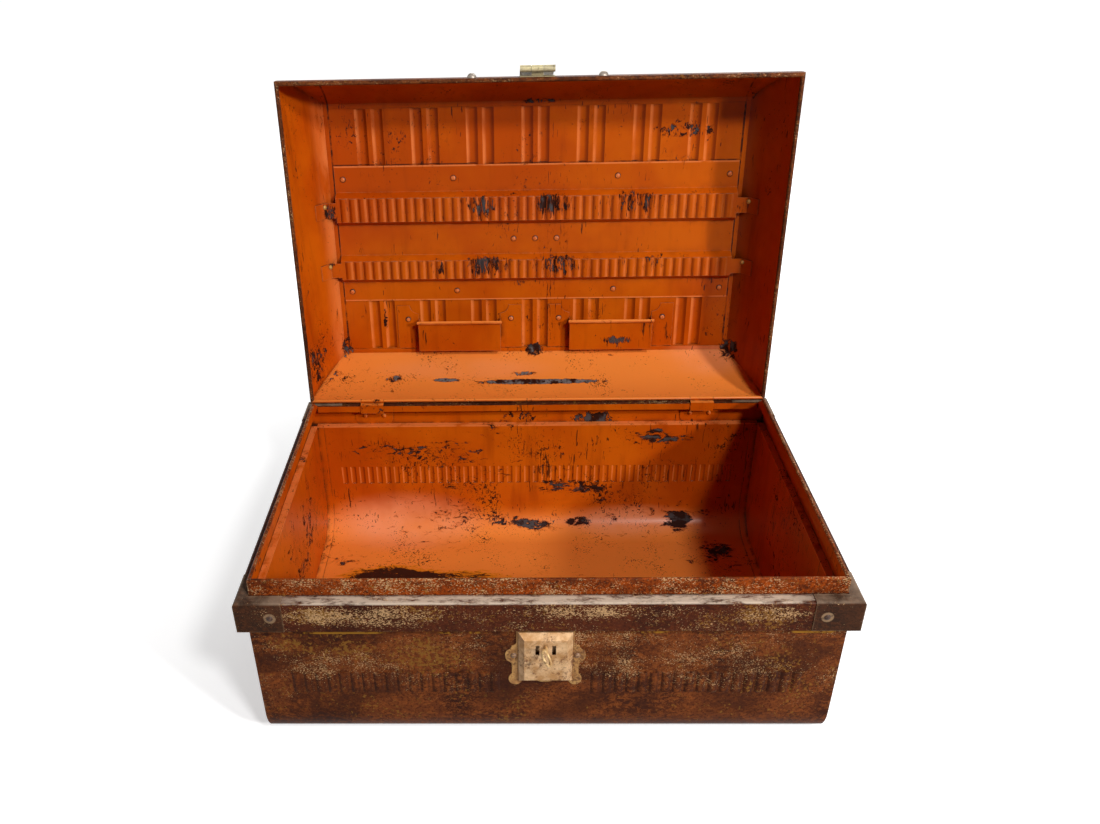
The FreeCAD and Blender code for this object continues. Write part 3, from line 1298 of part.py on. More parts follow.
build_wrap()
for hand in SIDES:
    build_end_panel(hand)
build_collar()
for rim in ENDS:
    for hand in SIDES:
        build_corner_cap(rim, hand)
build_cap_rivets()
for hand in SIDES:
    build_hinge_strap(hand)
build_hinge_rivets()
build_lock_plate()
build_lock_case()
build_key_post()
build_key()
build_bolt()
build_lock_spring()
build_lock_rivets()
for hand in SIDES:
    build_handle_plate(hand)
    build_handle_bail(hand)
build_handle_rivets()
build_lid_back_wall()
build_lid_walls()
build_hinge_wire()
build_top_panel()
build_stiffener()
build_stiffener_rivets()
for hand in SIDES:
    build_pocket(hand)
build_pocket_rivets()
build_lid_studs()
build_hasp_leaf()
build_hasp_pin()
build_hasp_rivets()
build_hasp_flap()
check_and_write()
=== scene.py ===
"""Looks of an open dome top tin trunk: grained brown paint outside, chipped orange enamel inside."""
import logging
import math
from dataclasses import dataclass, replace
from enum import Enum
from functools import cached_property, reduce

import bmesh
import bpy
from mathutils import Color, Matrix, Vector


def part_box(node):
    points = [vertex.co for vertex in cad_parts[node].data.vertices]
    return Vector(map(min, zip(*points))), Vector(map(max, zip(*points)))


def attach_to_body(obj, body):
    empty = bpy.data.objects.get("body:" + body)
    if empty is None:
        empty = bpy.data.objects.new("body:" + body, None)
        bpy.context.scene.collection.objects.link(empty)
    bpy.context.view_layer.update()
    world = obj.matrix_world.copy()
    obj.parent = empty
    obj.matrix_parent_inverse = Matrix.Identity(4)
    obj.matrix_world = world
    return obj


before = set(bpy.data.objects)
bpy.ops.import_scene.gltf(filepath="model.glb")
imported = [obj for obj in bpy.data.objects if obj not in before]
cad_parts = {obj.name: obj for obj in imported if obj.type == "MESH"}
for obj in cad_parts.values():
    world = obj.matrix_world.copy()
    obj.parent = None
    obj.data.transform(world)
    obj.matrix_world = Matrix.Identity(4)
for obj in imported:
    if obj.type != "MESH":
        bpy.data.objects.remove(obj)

LOG = logging.getLogger("trunk")
SIDES = ("left", "right")
ADDED: dict[str, bpy.types.Object] = {}

Socket = bpy.types.NodeSocket
Colour = tuple[float, float, float, float]
Point = tuple[float, float, float]
Layer = tuple[object, ...]
Tree = bpy.types.NodeTree
Outputs = bpy.types.NodeOutputs
Block = bpy.types.Material
Mesh = bmesh.types.BMesh
Corner = bmesh.types.BMVert

NOWHERE: Point = (0.0, 0.0, 0.0)
EVEN: Point = (1.0, 1.0, 1.0)
FULL_CHANNEL = 255.0
NOISE_MIDDLE = 0.5
AMOUNT_SHARE = 0.3
RAY_SAMPLES = 4
FLANGE_PULL = 0.004
VARNISH_ROUGHNESS = 0.28
PAINT_BUMP = 0.0012
PAINT_GLOSS = 0.06
METAL_BUMP = 0.0006
RIVET_BUMP = 0.0003
# Share of the soiling and painted shade in creases.
SOIL_AND_SHADE_SHARE = 0.85
SHARP_ANGLE = 40.0
WELD = 1e-6
MILLIMETRES = 1000.0


def paint(red: int, green: int, blue: int) -> Colour:
    """Turn a paint colour seen on a screen, 0 to 255 each, into scene-linear light with full alpha."""
    seen = Color((red / FULL_CHANNEL, green / FULL_CHANNEL, blue / FULL_CHANNEL))
    return (*seen.from_srgb_to_scene_linear(), 1.0)


class Wiring:
    """Adds and joins the nodes of one shader tree, whose noises follow its place."""

    place: Socket

    def __init__(self, tree: Tree) -> None:
        """Keep the tree that the nodes go into."""
        self.tree = tree

    def add(self, kind: str, inputs: dict | None = None, **settings: object) -> bpy.types.Node:
        """Add a node.

        Args:
            kind: Type name of the node, without the ShaderNode prefix.
            inputs: Constants and sockets for its inputs, by name or number.
            settings: Properties of the node.

        Returns:
            The new node.
        """
        node = self.tree.nodes.new("ShaderNode" + kind)
        for name, value in settings.items():
            setattr(node, name, value)
        for name, value in (inputs or {}).items():
            self.feed(node.inputs[name], value)
        return node

    def feed(self, socket: Socket, value: object) -> None:
        """Link a socket into an input, or set the input to a constant."""
        if isinstance(value, Socket):
            self.tree.links.new(value, socket)
        else:
            socket.default_value = value

    def math(self, operation: str, first: object, second: object = 0.0, clamp: bool = False) -> Socket:
        """Work out one number from two."""
        return self.add("Math", {0: first, 1: second}, operation=operation, use_clamp=clamp).outputs[0]

    def plus(self, first: object, second: object) -> Socket:
        """Add two numbers."""
        return self.math("ADD", first, second)

    def minus(self, first: object, second: object) -> Socket:
        """Take the second number from the first."""
        return self.math("SUBTRACT", first, second)

    def times(self, *factors: object) -> object:
        """Multiply masks and numbers."""
        return reduce(lambda first, second: self.math("MULTIPLY", first, second), factors)

    def vector(self, operation: str, first: object, second: object = NOWHERE,
               output: str = "Vector") -> Socket:
        """Work out a vector from two, or a number on the output Value."""
        return self.add("VectorMath", {0: first, 1: second}, operation=operation).outputs[output]

    def parts(self, vector: Socket) -> Outputs:
        """The coordinates of a vector, by their names X, Y and Z."""
        return self.add("SeparateXYZ", {0: vector}).outputs

    def mix(self, factor: object, first: object, second: object) -> Socket:
        """Mix two colours by the share of the second."""
        return self.add("Mix", {0: factor, 6: first, 7: second}, data_type="RGBA").outputs[2]

    def over(self, colour: object, *layers: Layer) -> Socket:
        """Lay colours over a colour, each given with the masks whose product is its share."""
        for tint, *masks in layers:
            colour = self.mix(self.times(*masks), colour, tint)
        return colour

    def blend(self, factor: object, first: object, second: object) -> Socket:
        """Mix two numbers by the share of the second."""
        return self.add("Mix", {0: factor, 2: first, 3: second}, data_type="FLOAT").outputs[0]

    def step(self, value: object, low: object, high: object) -> Socket:
        """Smooth step from 0 at the low value to 1 at the high one."""
        ends = {"Value": value, "From Min": low, "From Max": high}
        return self.add("MapRange", ends, interpolation_type="SMOOTHSTEP", clamp=True).outputs["Result"]

    def hump(self, value: Socket, start: float, full: float, fall: float, end: float) -> Socket:
        """Mask that rises from the start until it is full, and falls again to the end."""
        return self.times(self.step(value, start, full), self.step(value, end, fall))

    def stretched(self, stretch: Point) -> Socket:
        """The place, scaled along each axis."""
        return self.place if stretch == EVEN else self.vector("MULTIPLY", self.place, stretch)

    def noise(self, scale: object, detail: float = 4.0, rough: float = 0.55, twist: float = 0.0,
              stretch: Point = EVEN) -> Socket:
        """Cloudy noise, about 0.5 on average, with its clouds per metre and its finer octaves."""
        inputs = {"Vector": self.stretched(stretch), "Scale": scale, "Detail": detail, "Roughness": rough}
        return self.add("TexNoise", {**inputs, "Distortion": twist}).outputs[0]


class GroupDraft(Wiring):
    """A node group in the making, which reads a place and puts out masks."""

    def __init__(self, name: str, outputs: tuple[str, ...], vectors: tuple[str, ...] = (),
                 **numbers: float) -> None:
        """Make the group and its sockets.

        Args:
            name: Name of the group.
            outputs: Names of its masks.
            vectors: Names of its vector inputs, besides Place.
            numbers: First values of its number inputs, by name.
        """
        super().__init__(bpy.data.node_groups.new(name, "ShaderNodeTree"))
        new = self.tree.interface.new_socket
        for label in ("Place", *vectors):
            new(label, in_out="INPUT", socket_type="NodeSocketVector")
        for label, start in numbers.items():
            new(label, in_out="INPUT", socket_type="NodeSocketFloat").default_value = start
        for label in outputs:
            new(label, in_out="OUTPUT", socket_type="NodeSocketFloat")
        self.given = self.tree.nodes.new("NodeGroupInput").outputs
        self.result = self.tree.nodes.new("NodeGroupOutput").inputs
        self.place = self.given["Place"]

    def gathered(self, fine: Socket, cluster: Socket, pull: float) -> Socket:
        """Level of a fine noise that gathers by the pull of a slow one and grows with the amount."""
        level = self.plus(fine, self.times(self.minus(cluster, NOISE_MIDDLE), pull))
        return self.plus(level, self.times(self.given["Amount"], AMOUNT_SHARE))

    def close(self, **masks: Socket) -> Tree:
        """Feed the group's outputs and return its tree."""
        for label, mask in masks.items():
            self.feed(self.result[label], mask)
        return self.tree


class EffectLibrary:
    """Wear and paint effects that several finishes share, each a node group built once."""

    @cached_property
    def chips(self) -> Tree:
        """Ragged chips in a coat of paint, with their bare cores and a halo of thinned paint."""
        on = GroupDraft("chipped_coat", ("Chip", "Core", "Halo"), Amount=0.0, Scale=90.0)
        ragged = on.noise(on.given["Scale"], detail=9.0, rough=0.72, twist=0.9)
        level = on.gathered(ragged, on.noise(14.0, detail=3.0), 0.5)
        bare = on.step(on.noise(60.0), 0.44, 0.56)
        return on.close(Chip=on.step(level, 0.7, 0.712), Halo=on.step(level, 0.62, 0.7),
                        Core=on.times(on.step(level, 0.72, 0.76), bare))

    @cached_property
    def specks(self) -> Tree:
        """Fine specks where a top coat is worn through, gathered in clouds."""
        on = GroupDraft("worn_specks", ("Speck",), Amount=0.0, Scale=420.0)
        fine = on.noise(on.given["Scale"], detail=3.0, rough=0.7)
        level = on.gathered(fine, on.noise(42.0, detail=6.0, rough=0.7), 0.55)
        return on.close(Speck=on.step(level, 0.64, 0.7))

    @cached_property
    def rubbed_edges(self) -> Tree:
        """Mask of sharp edges rubbed bare, broken up by noise."""
        on = GroupDraft("rubbed_edges", ("Edge",), Width=0.002, Amount=0.5)
        bevel = on.add("Bevel", {"Radius": on.given["Width"]}, samples=RAY_SAMPLES)
        shape = on.add("NewGeometry")
        facing = on.vector("DOT_PRODUCT", bevel.outputs["Normal"], shape.outputs["Normal"], "Value")
        broken = on.noise(150.0, detail=5.0, rough=0.65)
        start = on.minus(0.8, on.times(on.given["Amount"], 0.6))
        return on.close(Edge=on.times(on.step(facing, 0.99, 0.85), on.step(broken, start, 0.75)))

    @cached_property
    def patch(self) -> Tree:
        """Soft spot round one place, for wear that sits where use put it."""
        on = GroupDraft("worn_spot", ("Spot",), ("Middle", "Reach"))
        away = on.vector("SUBTRACT", on.place, on.given["Middle"])
        scaled = on.vector("DIVIDE", away, on.given["Reach"])
        return on.close(Spot=on.step(on.vector("LENGTH", scaled, output="Value"), 1.0, 0.3))

    @cached_property
    def inside(self) -> Tree:
        """1 on faces that look into a hollow and lie behind its rim, 0 on the others."""
        on = GroupDraft("inner_face", ("Inner",), ("Facing", "Low", "High", "Rim", "Depth"), Level=1.0)
        given = on.given
        core = on.vector("MINIMUM", on.vector("MAXIMUM", on.place, given["Low"]), given["High"])
        towards = on.vector("SUBTRACT", core, on.place)
        side = on.vector("DOT_PRODUCT", towards, given["Facing"], "Value")
        flange = on.math("GREATER_THAN", on.parts(on.place)["Z"], given["Level"])
        side = on.plus(side, on.times(flange, FLANGE_PULL))
        below = on.vector("SUBTRACT", on.place, given["Rim"])
        depth = on.vector("DOT_PRODUCT", below, given["Depth"], "Value")
        return on.close(Inner=on.times(on.step(side, 0.001, 0.003), on.step(depth, -0.0006, 0.0006)))

    @cached_property
    def soil_and_shade_in_creases(self) -> Tree:
        """Darkening where surfaces meet, by ambient occlusion: soiling and painted shade."""
        on = GroupDraft("crease_soil_and_shade", ("Dirt",), Reach=0.012)
        shade = on.add("AmbientOcclusion", {"Distance": on.given["Reach"]}, samples=RAY_SAMPLES)
        smear = on.step(on.noise(70.0), 0.3, 0.6)
        return on.close(Dirt=on.times(on.step(shade.outputs["AO"], 0.9, 0.5), smear))

    @cached_property
    def scratches(self) -> Tree:
        """Thin upright scratches, here and there."""
        on = GroupDraft("upright_scratches", ("Scratch",), Amount=0.0)
        lines = on.noise(420.0, detail=2.0, twist=0.6, stretch=(1.0, 1.0, 0.09))
        level = on.gathered(lines, on.noise(22.0, detail=2.0), 0.7)
        return on.close(Scratch=on.step(level, 0.74, 0.76))


EFFECTS = EffectLibrary()


@dataclass(frozen=True)
class Spot:
    """A place where the coat is worn more than round it."""

    middle: Point
    reach: Point
    strength: float


@dataclass(frozen=True)
class Coat:
    """What a layer of paint or metal puts on the surface: its colour, roughness, height and varnish."""

    colour: Socket
    roughness: Socket
    height: Socket
    varnish: object = 0.0


class Material(Wiring):
    """A material being wired: its coordinates, its shader and its output."""

    def __init__(self, name: str) -> None:
        """Make the material with an empty tree."""
        self.block = bpy.data.materials.new(name)
        self.block.use_nodes = True
        super().__init__(self.block.node_tree)
        self.tree.nodes.clear()
        where = self.add("TexCoord").outputs
        self.place = where["Object"]
        self.facing = where["Normal"]

    def effect(self, tree: Tree, stretch: Point = EVEN, **inputs: object) -> Outputs:
        """Place a shared effect on the surface and return its outputs."""
        return self.add("Group", {"Place": self.stretched(stretch), **inputs}, node_tree=tree).outputs

    def soil_and_shade(self, reach: float) -> Socket:
        """Mask of the darkening where surfaces meet: soiling and painted shade."""
        return self.effect(EFFECTS.soil_and_shade_in_creases, Reach=reach)["Dirt"]

    def edges(self, width: float, amount: float) -> Socket:
        """Mask of the rubbed edges."""
        return self.effect(EFFECTS.rubbed_edges, Width=width, Amount=amount)["Edge"]

    def spots(self, spots: tuple[Spot, ...], base: float = 0.0) -> object:
        """Wear all over, with the wear of the spots added to it."""
        masks = [self.effect(EFFECTS.patch, Middle=spot.middle, Reach=spot.reach)["Spot"] for spot in spots]
        return reduce(self.plus, (self.times(mask, spot.strength) for mask, spot in zip(masks, spots)), base)

    def axis(self, name: str) -> Socket:
        """One coordinate, by its name X, Y or Z."""
        return self.parts(self.place)[name]

    def away(self, name: str) -> Socket:
        """Distance from the middle along one axis."""
        return self.math("ABSOLUTE", self.axis(name))

    def looks(self, name: str) -> Socket:
        """How far the surface looks along an axis, from -1 to 1."""
        return self.parts(self.facing)[name]

    def merge(self, mask: Socket, first: Coat, second: Coat) -> Coat:
        """Show the second coat where the mask is 1."""
        colours, *numbers = zip(vars(first).values(), vars(second).values())
        return Coat(self.mix(mask, *colours), *(self.blend(mask, *pair) for pair in numbers))

    def finish(self, coat: Coat, depth: float, metallic: object = 0.0, specular: float = 0.5) -> Block:
        """Put the coat on the shader.

        Args:
            coat: What the surface shows.
            depth: Height of the bump in metres.
            metallic: How metallic the surface is.
            specular: Level of plain reflections.

        Returns:
            The finished material.
        """
        bump = self.add("Bump", {"Strength": 1.0, "Distance": depth, "Height": coat.height})
        shader = self.add("BsdfPrincipled", {
            "Base Color": coat.colour, "Roughness": coat.roughness, "Metallic": metallic,
            "Specular IOR Level": specular, "Coat Weight": coat.varnish, "Coat Roughness": VARNISH_ROUGHNESS,
            "Normal": bump.outputs["Normal"]})
        self.add("OutputMaterial", {"Surface": shader.outputs["BSDF"]})
        return self.block


@dataclass(frozen=True)
class Zone:
    """Stretch along one axis, both ways from the middle where it is mirrored."""

    axis: str
    low: float
    high: float
    soft: float = 0.0004
    mirrored: bool = False

    def mask(self, on: Material) -> Socket:
        """Mask of the stretch in a material."""
        place = on.away(self.axis) if self.mirrored else on.axis(self.axis)
        return on.hump(place, self.low - self.soft, self.low + self.soft, self.high - self.soft,
                       self.high + self.soft)


@dataclass(frozen=True)
class Enamel:
    """Orange enamel of the inside, chipped to the dark tin."""

    fresh: Colour = paint(182, 71, 3)
    faded: Colour = paint(202, 92, 6)
    # Colour of up-facing faces: a settled powdery film and painted top light.
    powder_and_top_light: Colour = paint(247, 143, 60)
    # Colour of the painted highlight haze on the bends.
    painted_highlight: Colour = paint(236, 146, 98)
    # Colour of the painted highlights on flanks and along lines; the next colour is for stains and for
    # painted shade on flanks.
    bright: Colour = paint(240, 134, 70)
    stain_and_shade: Colour = paint(124, 40, 3)
    rusty: Colour = paint(52, 26, 18)
    fringe: Colour = paint(218, 124, 22)
    thin: Colour = paint(172, 70, 6)
    rim: Colour = paint(46, 20, 12)
    slate: Colour = paint(74, 68, 68)
    rubbed: Colour = paint(216, 150, 104)
    chips: float = 0.0
    chip_scale: float = 90.0
    chip_stretch: Point = (1.0, 1.0, 0.8)
    stain: float = 0.35
    edge_width: float = 0.0012
    edge_amount: float = 0.3
    nicks: float = 0.05
    nick_scale: float = 260.0
    nick_stretch: Point = (1.0, 1.0, 0.7)
    scratches: float = 0.0
    varnish: float = 0.06
    # Share of the painted highlight and shade on flanks.
    painted_flank_light: float = 0.6
    powder_and_light_top: float = 1.0
    powder_and_light_fade: float = 0.06
    soil_and_shade_reach: float = 0.006
    joints_and_shadow_lines: tuple[Zone, ...] = ()
    highlight_lines: tuple[Zone, ...] = ()
    spots: tuple[Spot, ...] = ()
    highlight_spots: tuple[Spot, ...] = ()
    rust: tuple[Spot, ...] = ()

    def lay(self, on: Material) -> Coat:
        """Wire the enamel.

        Args:
            on: Its material.

        Returns:
            The coat.
        """
        cloud = on.noise(7.0, rough=0.6)
        amount = on.spots(self.spots, self.chips)
        worn = on.effect(EFFECTS.chips, self.chip_stretch, Amount=amount, Scale=self.chip_scale)
        chip = worn["Chip"]
        nicked = on.plus(on.times(amount, 0.3), self.nicks)
        nick = on.effect(EFFECTS.chips, self.nick_stretch, Amount=nicked, Scale=self.nick_scale)["Chip"]
        line = on.effect(EFFECTS.scratches, Amount=self.scratches)["Scratch"]
        bare = on.mix(worn["Core"], self.rim, self.slate)
        colour = on.over(self.fresh, *self.ground(on, cloud), (self.thin, worn["Halo"], 0.5), (bare, chip),
                         (self.rim, nick), (self.rim, line, 0.85))
        rough = on.blend(chip, on.blend(cloud, 0.24, 0.4), 0.7)
        dents = on.noise(9.0, detail=2.0)
        height = on.minus(on.times(dents, 2.0), on.times(chip, 0.18))
        return Coat(colour, rough, height, on.blend(chip, self.varnish, 0.0))

    def ground(self, on: Material, cloud: Socket) -> list[Layer]:
        """Wire what lies on the sound paint: stains, powder, soiling, edges, joints, rust, and painted
        highlights and shade.

        Args:
            on: Its material.
            cloud: Slow noise over the piece.

        Returns:
            The layers.
        """
        streak = on.noise(2.0, rough=0.6, stretch=(24.0, 24.0, 3.0))
        low = on.step(on.axis("Z"), self.powder_and_light_top, self.powder_and_light_top - self.powder_and_light_fade)
        across = on.looks("X")
        streaky = on.step(on.noise(60.0, stretch=(1.0, 1.0, 0.25)), 0.25, 0.6)
        broken = on.noise(45.0, detail=5.0, rough=0.65)
        layers = [(self.faded, on.step(cloud, 0.35, 0.68)),
                  (self.stain_and_shade, on.step(streak, 0.5, 0.75), self.stain),
                  # Paler colour on up-facing faces below a height: partly a settled powdery film, partly
                  # painted top light.
                  (self.powder_and_top_light, on.step(on.looks("Z"), 0.1, 0.95), low, 0.8),
                  # Painted highlight on rib and flute flanks facing +x, towards the key lamp, and painted
                  # shade on flanks facing -x.
                  (self.stain_and_shade, on.hump(across, -0.12, -0.4, -0.7, -0.85), self.painted_flank_light),
                  (self.bright, on.hump(across, 0.16, 0.42, 0.7, 0.85), streaky, self.painted_flank_light)]
        # Painted highlight: a pale pink haze on the bends, where the lamps' reflections fall.
        if self.highlight_spots:
            layers.append((self.painted_highlight, on.spots(self.highlight_spots), on.step(cloud, 0.2, 0.6)))
        # Soiling and painted shade where surfaces meet.
        layers += [(self.rim, on.soil_and_shade(self.soil_and_shade_reach), SOIL_AND_SHADE_SHARE),
                   (self.rubbed, on.edges(self.edge_width, self.edge_amount), 0.6)]
        # Painted highlight lines along given heights.
        layers += [(self.bright, zone.mask(on), on.step(broken, 0.3, 0.5), 0.7) for zone in self.highlight_lines]
        # Dark lines: joints at the lid's ends, and a painted shadow line above the stiffener.
        layers += [(self.rim, zone.mask(on), on.step(broken, 0.4, 0.54), 0.9) for zone in self.joints_and_shadow_lines]
        if self.rust:
            ragged = on.noise(90.0, detail=9.0, rough=0.78, twist=0.8, stretch=(0.4, 1.3, 1.0))
            level = on.plus(ragged, on.spots(self.rust))
            layers += [(self.fringe, on.step(level, 0.66, 0.76)), (self.rusty, on.step(level, 0.79, 0.83))]
        return layers


@dataclass(frozen=True)
class Graining:
    """Brown grained paint of the outside, worn to gold, pale specks and rust."""

    deep: Colour = paint(50, 22, 13)
    ground: Colour = paint(113, 58, 29)
    reddish: Colour = paint(148, 79, 37)
    gold: Colour = paint(142, 96, 40)
    pale: Colour = paint(214, 172, 122)
    rubbed: Colour = paint(166, 134, 102)
    powder_and_highlight: Colour = paint(176, 150, 126)
    deep_share: float = 0.47
    deep_soft: float = 0.14
    gold_amount: float = 0.0
    gold_scale: float = 260.0
    pale_amount: float = 0.0
    pale_scale: float = 640.0
    pale_stretch: Point = (0.8, 1.0, 1.3)
    edge_width: float = 0.0022
    edge_amount: float = 0.5
    top_powder_and_light: float = 0.0
    spots: tuple[Spot, ...] = ()
    gold_spots: tuple[Spot, ...] = ()
    shadow_spots: tuple[Spot, ...] = ()
    rings: tuple[Spot, ...] = ()

    def lay(self, on: Material) -> Coat:
        """Wire the grained paint.

        Args:
            on: Its material.

        Returns:
            The coat.
        """
        cloud = on.noise(16.0, detail=8.0, rough=0.68)
        mottle = on.noise(150.0, detail=6.0, rough=0.78, twist=0.6, stretch=(1.0, 1.0, 1.5))
        slow = on.noise(7.0, detail=6.0, rough=0.6, twist=0.8, stretch=(1.0, 1.0, 2.2))
        dark = on.noise(330.0, detail=5.0, rough=0.75)
        light = on.step(cloud, self.deep_share - self.deep_soft, self.deep_share + self.deep_soft)
        across = on.math("ABSOLUTE", on.looks("X"))
        thinned = on.minus(0.52, slow)
        amount = on.plus(thinned, on.spots(self.gold_spots, self.gold_amount))
        gold = on.effect(EFFECTS.specks, Scale=self.gold_scale, Amount=amount)["Speck"]
        amount = on.plus(thinned, on.spots(self.spots, self.pale_amount))
        pale = on.effect(EFFECTS.specks, self.pale_stretch, Scale=self.pale_scale, Amount=amount)["Speck"]
        layers = [(self.ground, light),
                  (self.reddish, on.step(mottle, 0.44, 0.6), 0.8),
                  (self.deep, on.step(dark, 0.5, 0.4), 0.75),
                  (self.deep, on.step(slow, 0.5, 0.64), 0.6),
                  # Painted shade on faces turned partly sideways, such as flute flanks and rounded corners.
                  (self.deep, on.hump(across, 0.15, 0.4, 0.7, 0.85), 0.5),
                  (self.gold, gold, 0.8),
                  (self.pale, pale, 0.85),
                  (self.rubbed, on.edges(self.edge_width, self.edge_amount), 0.8)]
        # Painted shadow spots in the deep colour.
        if self.shadow_spots:
            layers.append((self.deep, on.spots(self.shadow_spots), on.step(mottle, 0.3, 0.5)))
        if self.rings:
            ring = on.step(on.spots(self.rings), 0.1, 0.3)
            layers.append((self.rubbed, ring, on.step(mottle, 0.34, 0.5), 0.8))
        # Paler colour on faces turned up: powdery film and painted top light.
        if self.top_powder_and_light:
            up = on.step(on.looks("Z"), 0.3, 0.9)
            layers.append((self.powder_and_highlight, up, on.step(cloud, 0.3, 0.6), self.top_powder_and_light))
        dents = on.noise(8.0, detail=2.0)
        height = on.plus(on.times(dents, 1.6), on.times(mottle, 0.12))
        return Coat(on.over(self.deep, *layers), on.blend(mottle, 0.36, 0.72), height)


@dataclass(frozen=True)
class CollarPaint:
    """Outside of the collar: rusty lip above, ledge with a powdery film and a painted highlight, and mottled
    band below.
    """

    band: Graining
    lip: Graining
    powder_and_highlight: Colour = paint(228, 206, 183)
    lip_start: float = 0.2066
    lip_full: float = 0.2076
    ledge: Zone = Zone("Z", 0.203, 0.207, 0.0006)

    def lay(self, on: Material) -> Coat:
        """Wire the three zones.

        Args:
            on: Its material.

        Returns:
            The coat.
        """
        above = on.step(on.axis("Z"), self.lip_start, self.lip_full)
        coat = on.merge(above, self.band.lay(on), self.lip.lay(on))
        # Pale streaks on the ledge's upturned shoulder: powdery film and painted highlight.
        flat = on.step(on.looks("Z"), 0.3, 0.8)
        inner = on.step(on.away("X"), 0.315, 0.22)
        patchy = on.step(on.noise(120.0, detail=7.0, rough=0.75, stretch=(0.35, 1.0, 1.0)), 0.36, 0.56)
        edge = on.step(on.away("Y"), 0.196, 0.202)
        front = on.step(on.axis("Y"), 0.195, 0.18)
        layer = (self.powder_and_highlight, flat, self.ledge.mask(on), inner, patchy, edge, front, 0.85)
        return replace(coat, colour=on.over(coat.colour, layer))


@dataclass(frozen=True)
class StripedFront:
    """Grained paint with the remains of a thin gold line under the collar."""

    ground: Graining
    kept: tuple[Spot, ...]
    line: Colour = paint(190, 132, 46)
    row: Zone = Zone("Z", 0.1592, 0.1618, 0.0005)
    wall_start: float = -0.2022
    wall_full: float = -0.2026

    def lay(self, on: Material) -> Coat:
        """Wire the paint and the line on the front wall.

        Args:
            on: Its material.

        Returns:
            The coat.
        """
        coat = self.ground.lay(on)
        front = on.step(on.axis("Y"), self.wall_start, self.wall_full)
        worn = on.noise(120.0, detail=5.0, rough=0.65)
        left = on.step(on.plus(worn, on.spots(self.kept)), 0.66, 0.82)
        return replace(coat, colour=on.over(coat.colour, (self.line, self.row.mask(on), front, left, 0.9)))


@dataclass(frozen=True)
class Hollow:
    """Space inside a shell: a box well within it, a point on its rim, and the way in from the rim."""

    low: Point
    high: Point
    rim: Point
    depth: Point


class Shell(Enum):
    """The hollows of the trunk; behind the lid's back wall the rim lies further out."""

    BASE = Hollow((-0.22, -0.12, 0.06), (0.22, 0.12, 0.3), (0.0, 0.0, 0.2236), (0.0, 0.0, -1.0))
    LID = Hollow((-0.22, 0.1, 0.30), (0.22, 0.26, 0.54), (0.0, 0.2068, 0.2098), (0.0, 0.9976, -0.0698))
    LID_BACK = replace(LID, rim=(0.0, 0.18, 0.2098))


@dataclass(frozen=True)
class PaintedTin:
    """Painted sheet, with another paint on the side that looks into a hollow where one is given."""

    name: str
    outer: object
    shell: Shell | None = None
    inner: Enamel | None = None
    flange_level: float = 1.0

    def make(self) -> Block:
        """Wire the material.

        Returns:
            The finished material.
        """
        on = Material(self.name)
        coat = self.outer.lay(on)
        if self.shell:
            hollow = self.shell.value
            face = on.effect(EFFECTS.inside, Facing=on.facing, Low=hollow.low, High=hollow.high,
                             Rim=hollow.rim, Depth=hollow.depth, Level=self.flange_level)
            coat = on.merge(face["Inner"], coat, self.inner.lay(on))
        return on.finish(coat, PAINT_BUMP, specular=PAINT_GLOSS)


@dataclass(frozen=True)
class AgedMetal:
    """Bare metal with tarnish in its hollows and bright rubbed edges."""

    name: str
    bright: Colour
    dull: Colour
    dark: Colour
    shine: float
    metallic: float
    tarnish: float = 0.2
    tarnish_scale: float = 260.0
    soil_and_shade_reach: float = 0.006
    edge_width: float = 0.0015
    edge_amount: float = 0.6

    def make(self) -> Block:
        """Wire the material.

        Returns:
            The finished material.
        """
        on = Material(self.name)
        cloud = on.noise(70.0, detail=6.0, rough=0.65)
        fine = on.noise(420.0, rough=0.65)
        spots = on.effect(EFFECTS.chips, Amount=self.tarnish, Scale=self.tarnish_scale)
        halo = spots["Halo"]
        colour = on.over(self.dull, (self.bright, on.step(cloud, 0.35, 0.65)),
                         (self.dark, halo, 0.4),
                         (self.dark, spots["Chip"], 0.7),
                         # Tarnish and painted shade where surfaces meet.
                         (self.dark, on.soil_and_shade(self.soil_and_shade_reach), SOIL_AND_SHADE_SHARE),
                         (self.bright, on.edges(self.edge_width, self.edge_amount), 0.6))
        rough = on.blend(halo, on.blend(cloud, self.shine, self.shine + 0.2), 0.75)
        height = on.plus(on.times(cloud, 0.5), on.times(fine, 0.12))
        metallic = on.times(on.minus(1.0, halo), self.metallic)
        return on.finish(Coat(colour, rough, height), METAL_BUMP, metallic)


@dataclass(frozen=True)
class RivetHead:
    """Dome head whose foot holds a ring of another colour."""

    name: str
    crown: Colour
    worn: Colour
    ring: Colour
    gloss: float
    ring_start: float
    ring_soft: float = 0.12
    shine: float = 0.32
    end_face: float = 0.314

    def make(self) -> Block:
        """Wire the material.

        Returns:
            The finished material.
        """
        on = Material(self.name)
        size = on.parts(on.vector("ABSOLUTE", on.facing))
        at_end = on.math("GREATER_THAN", on.away("X"), self.end_face)
        top = on.math("MAXIMUM", on.times(size["X"], at_end), size["Y"])
        spread = on.minus(on.noise(90.0, detail=3.0), NOISE_MIDDLE)
        fine = on.noise(600.0, rough=0.65)
        foot = on.minus(top, on.times(spread, 0.5))
        # The ring at the foot: painted shade where it is dark, rubbed wear where it is pale.
        colour = on.over(self.crown, (self.worn, on.step(fine, 0.46, 0.6)),
                         (self.ring, on.step(foot, self.ring_start, self.ring_start - self.ring_soft)))
        rough = on.blend(fine, self.shine, self.shine + 0.3)
        return on.finish(Coat(colour, rough, fine), RIVET_BUMP, specular=self.gloss)


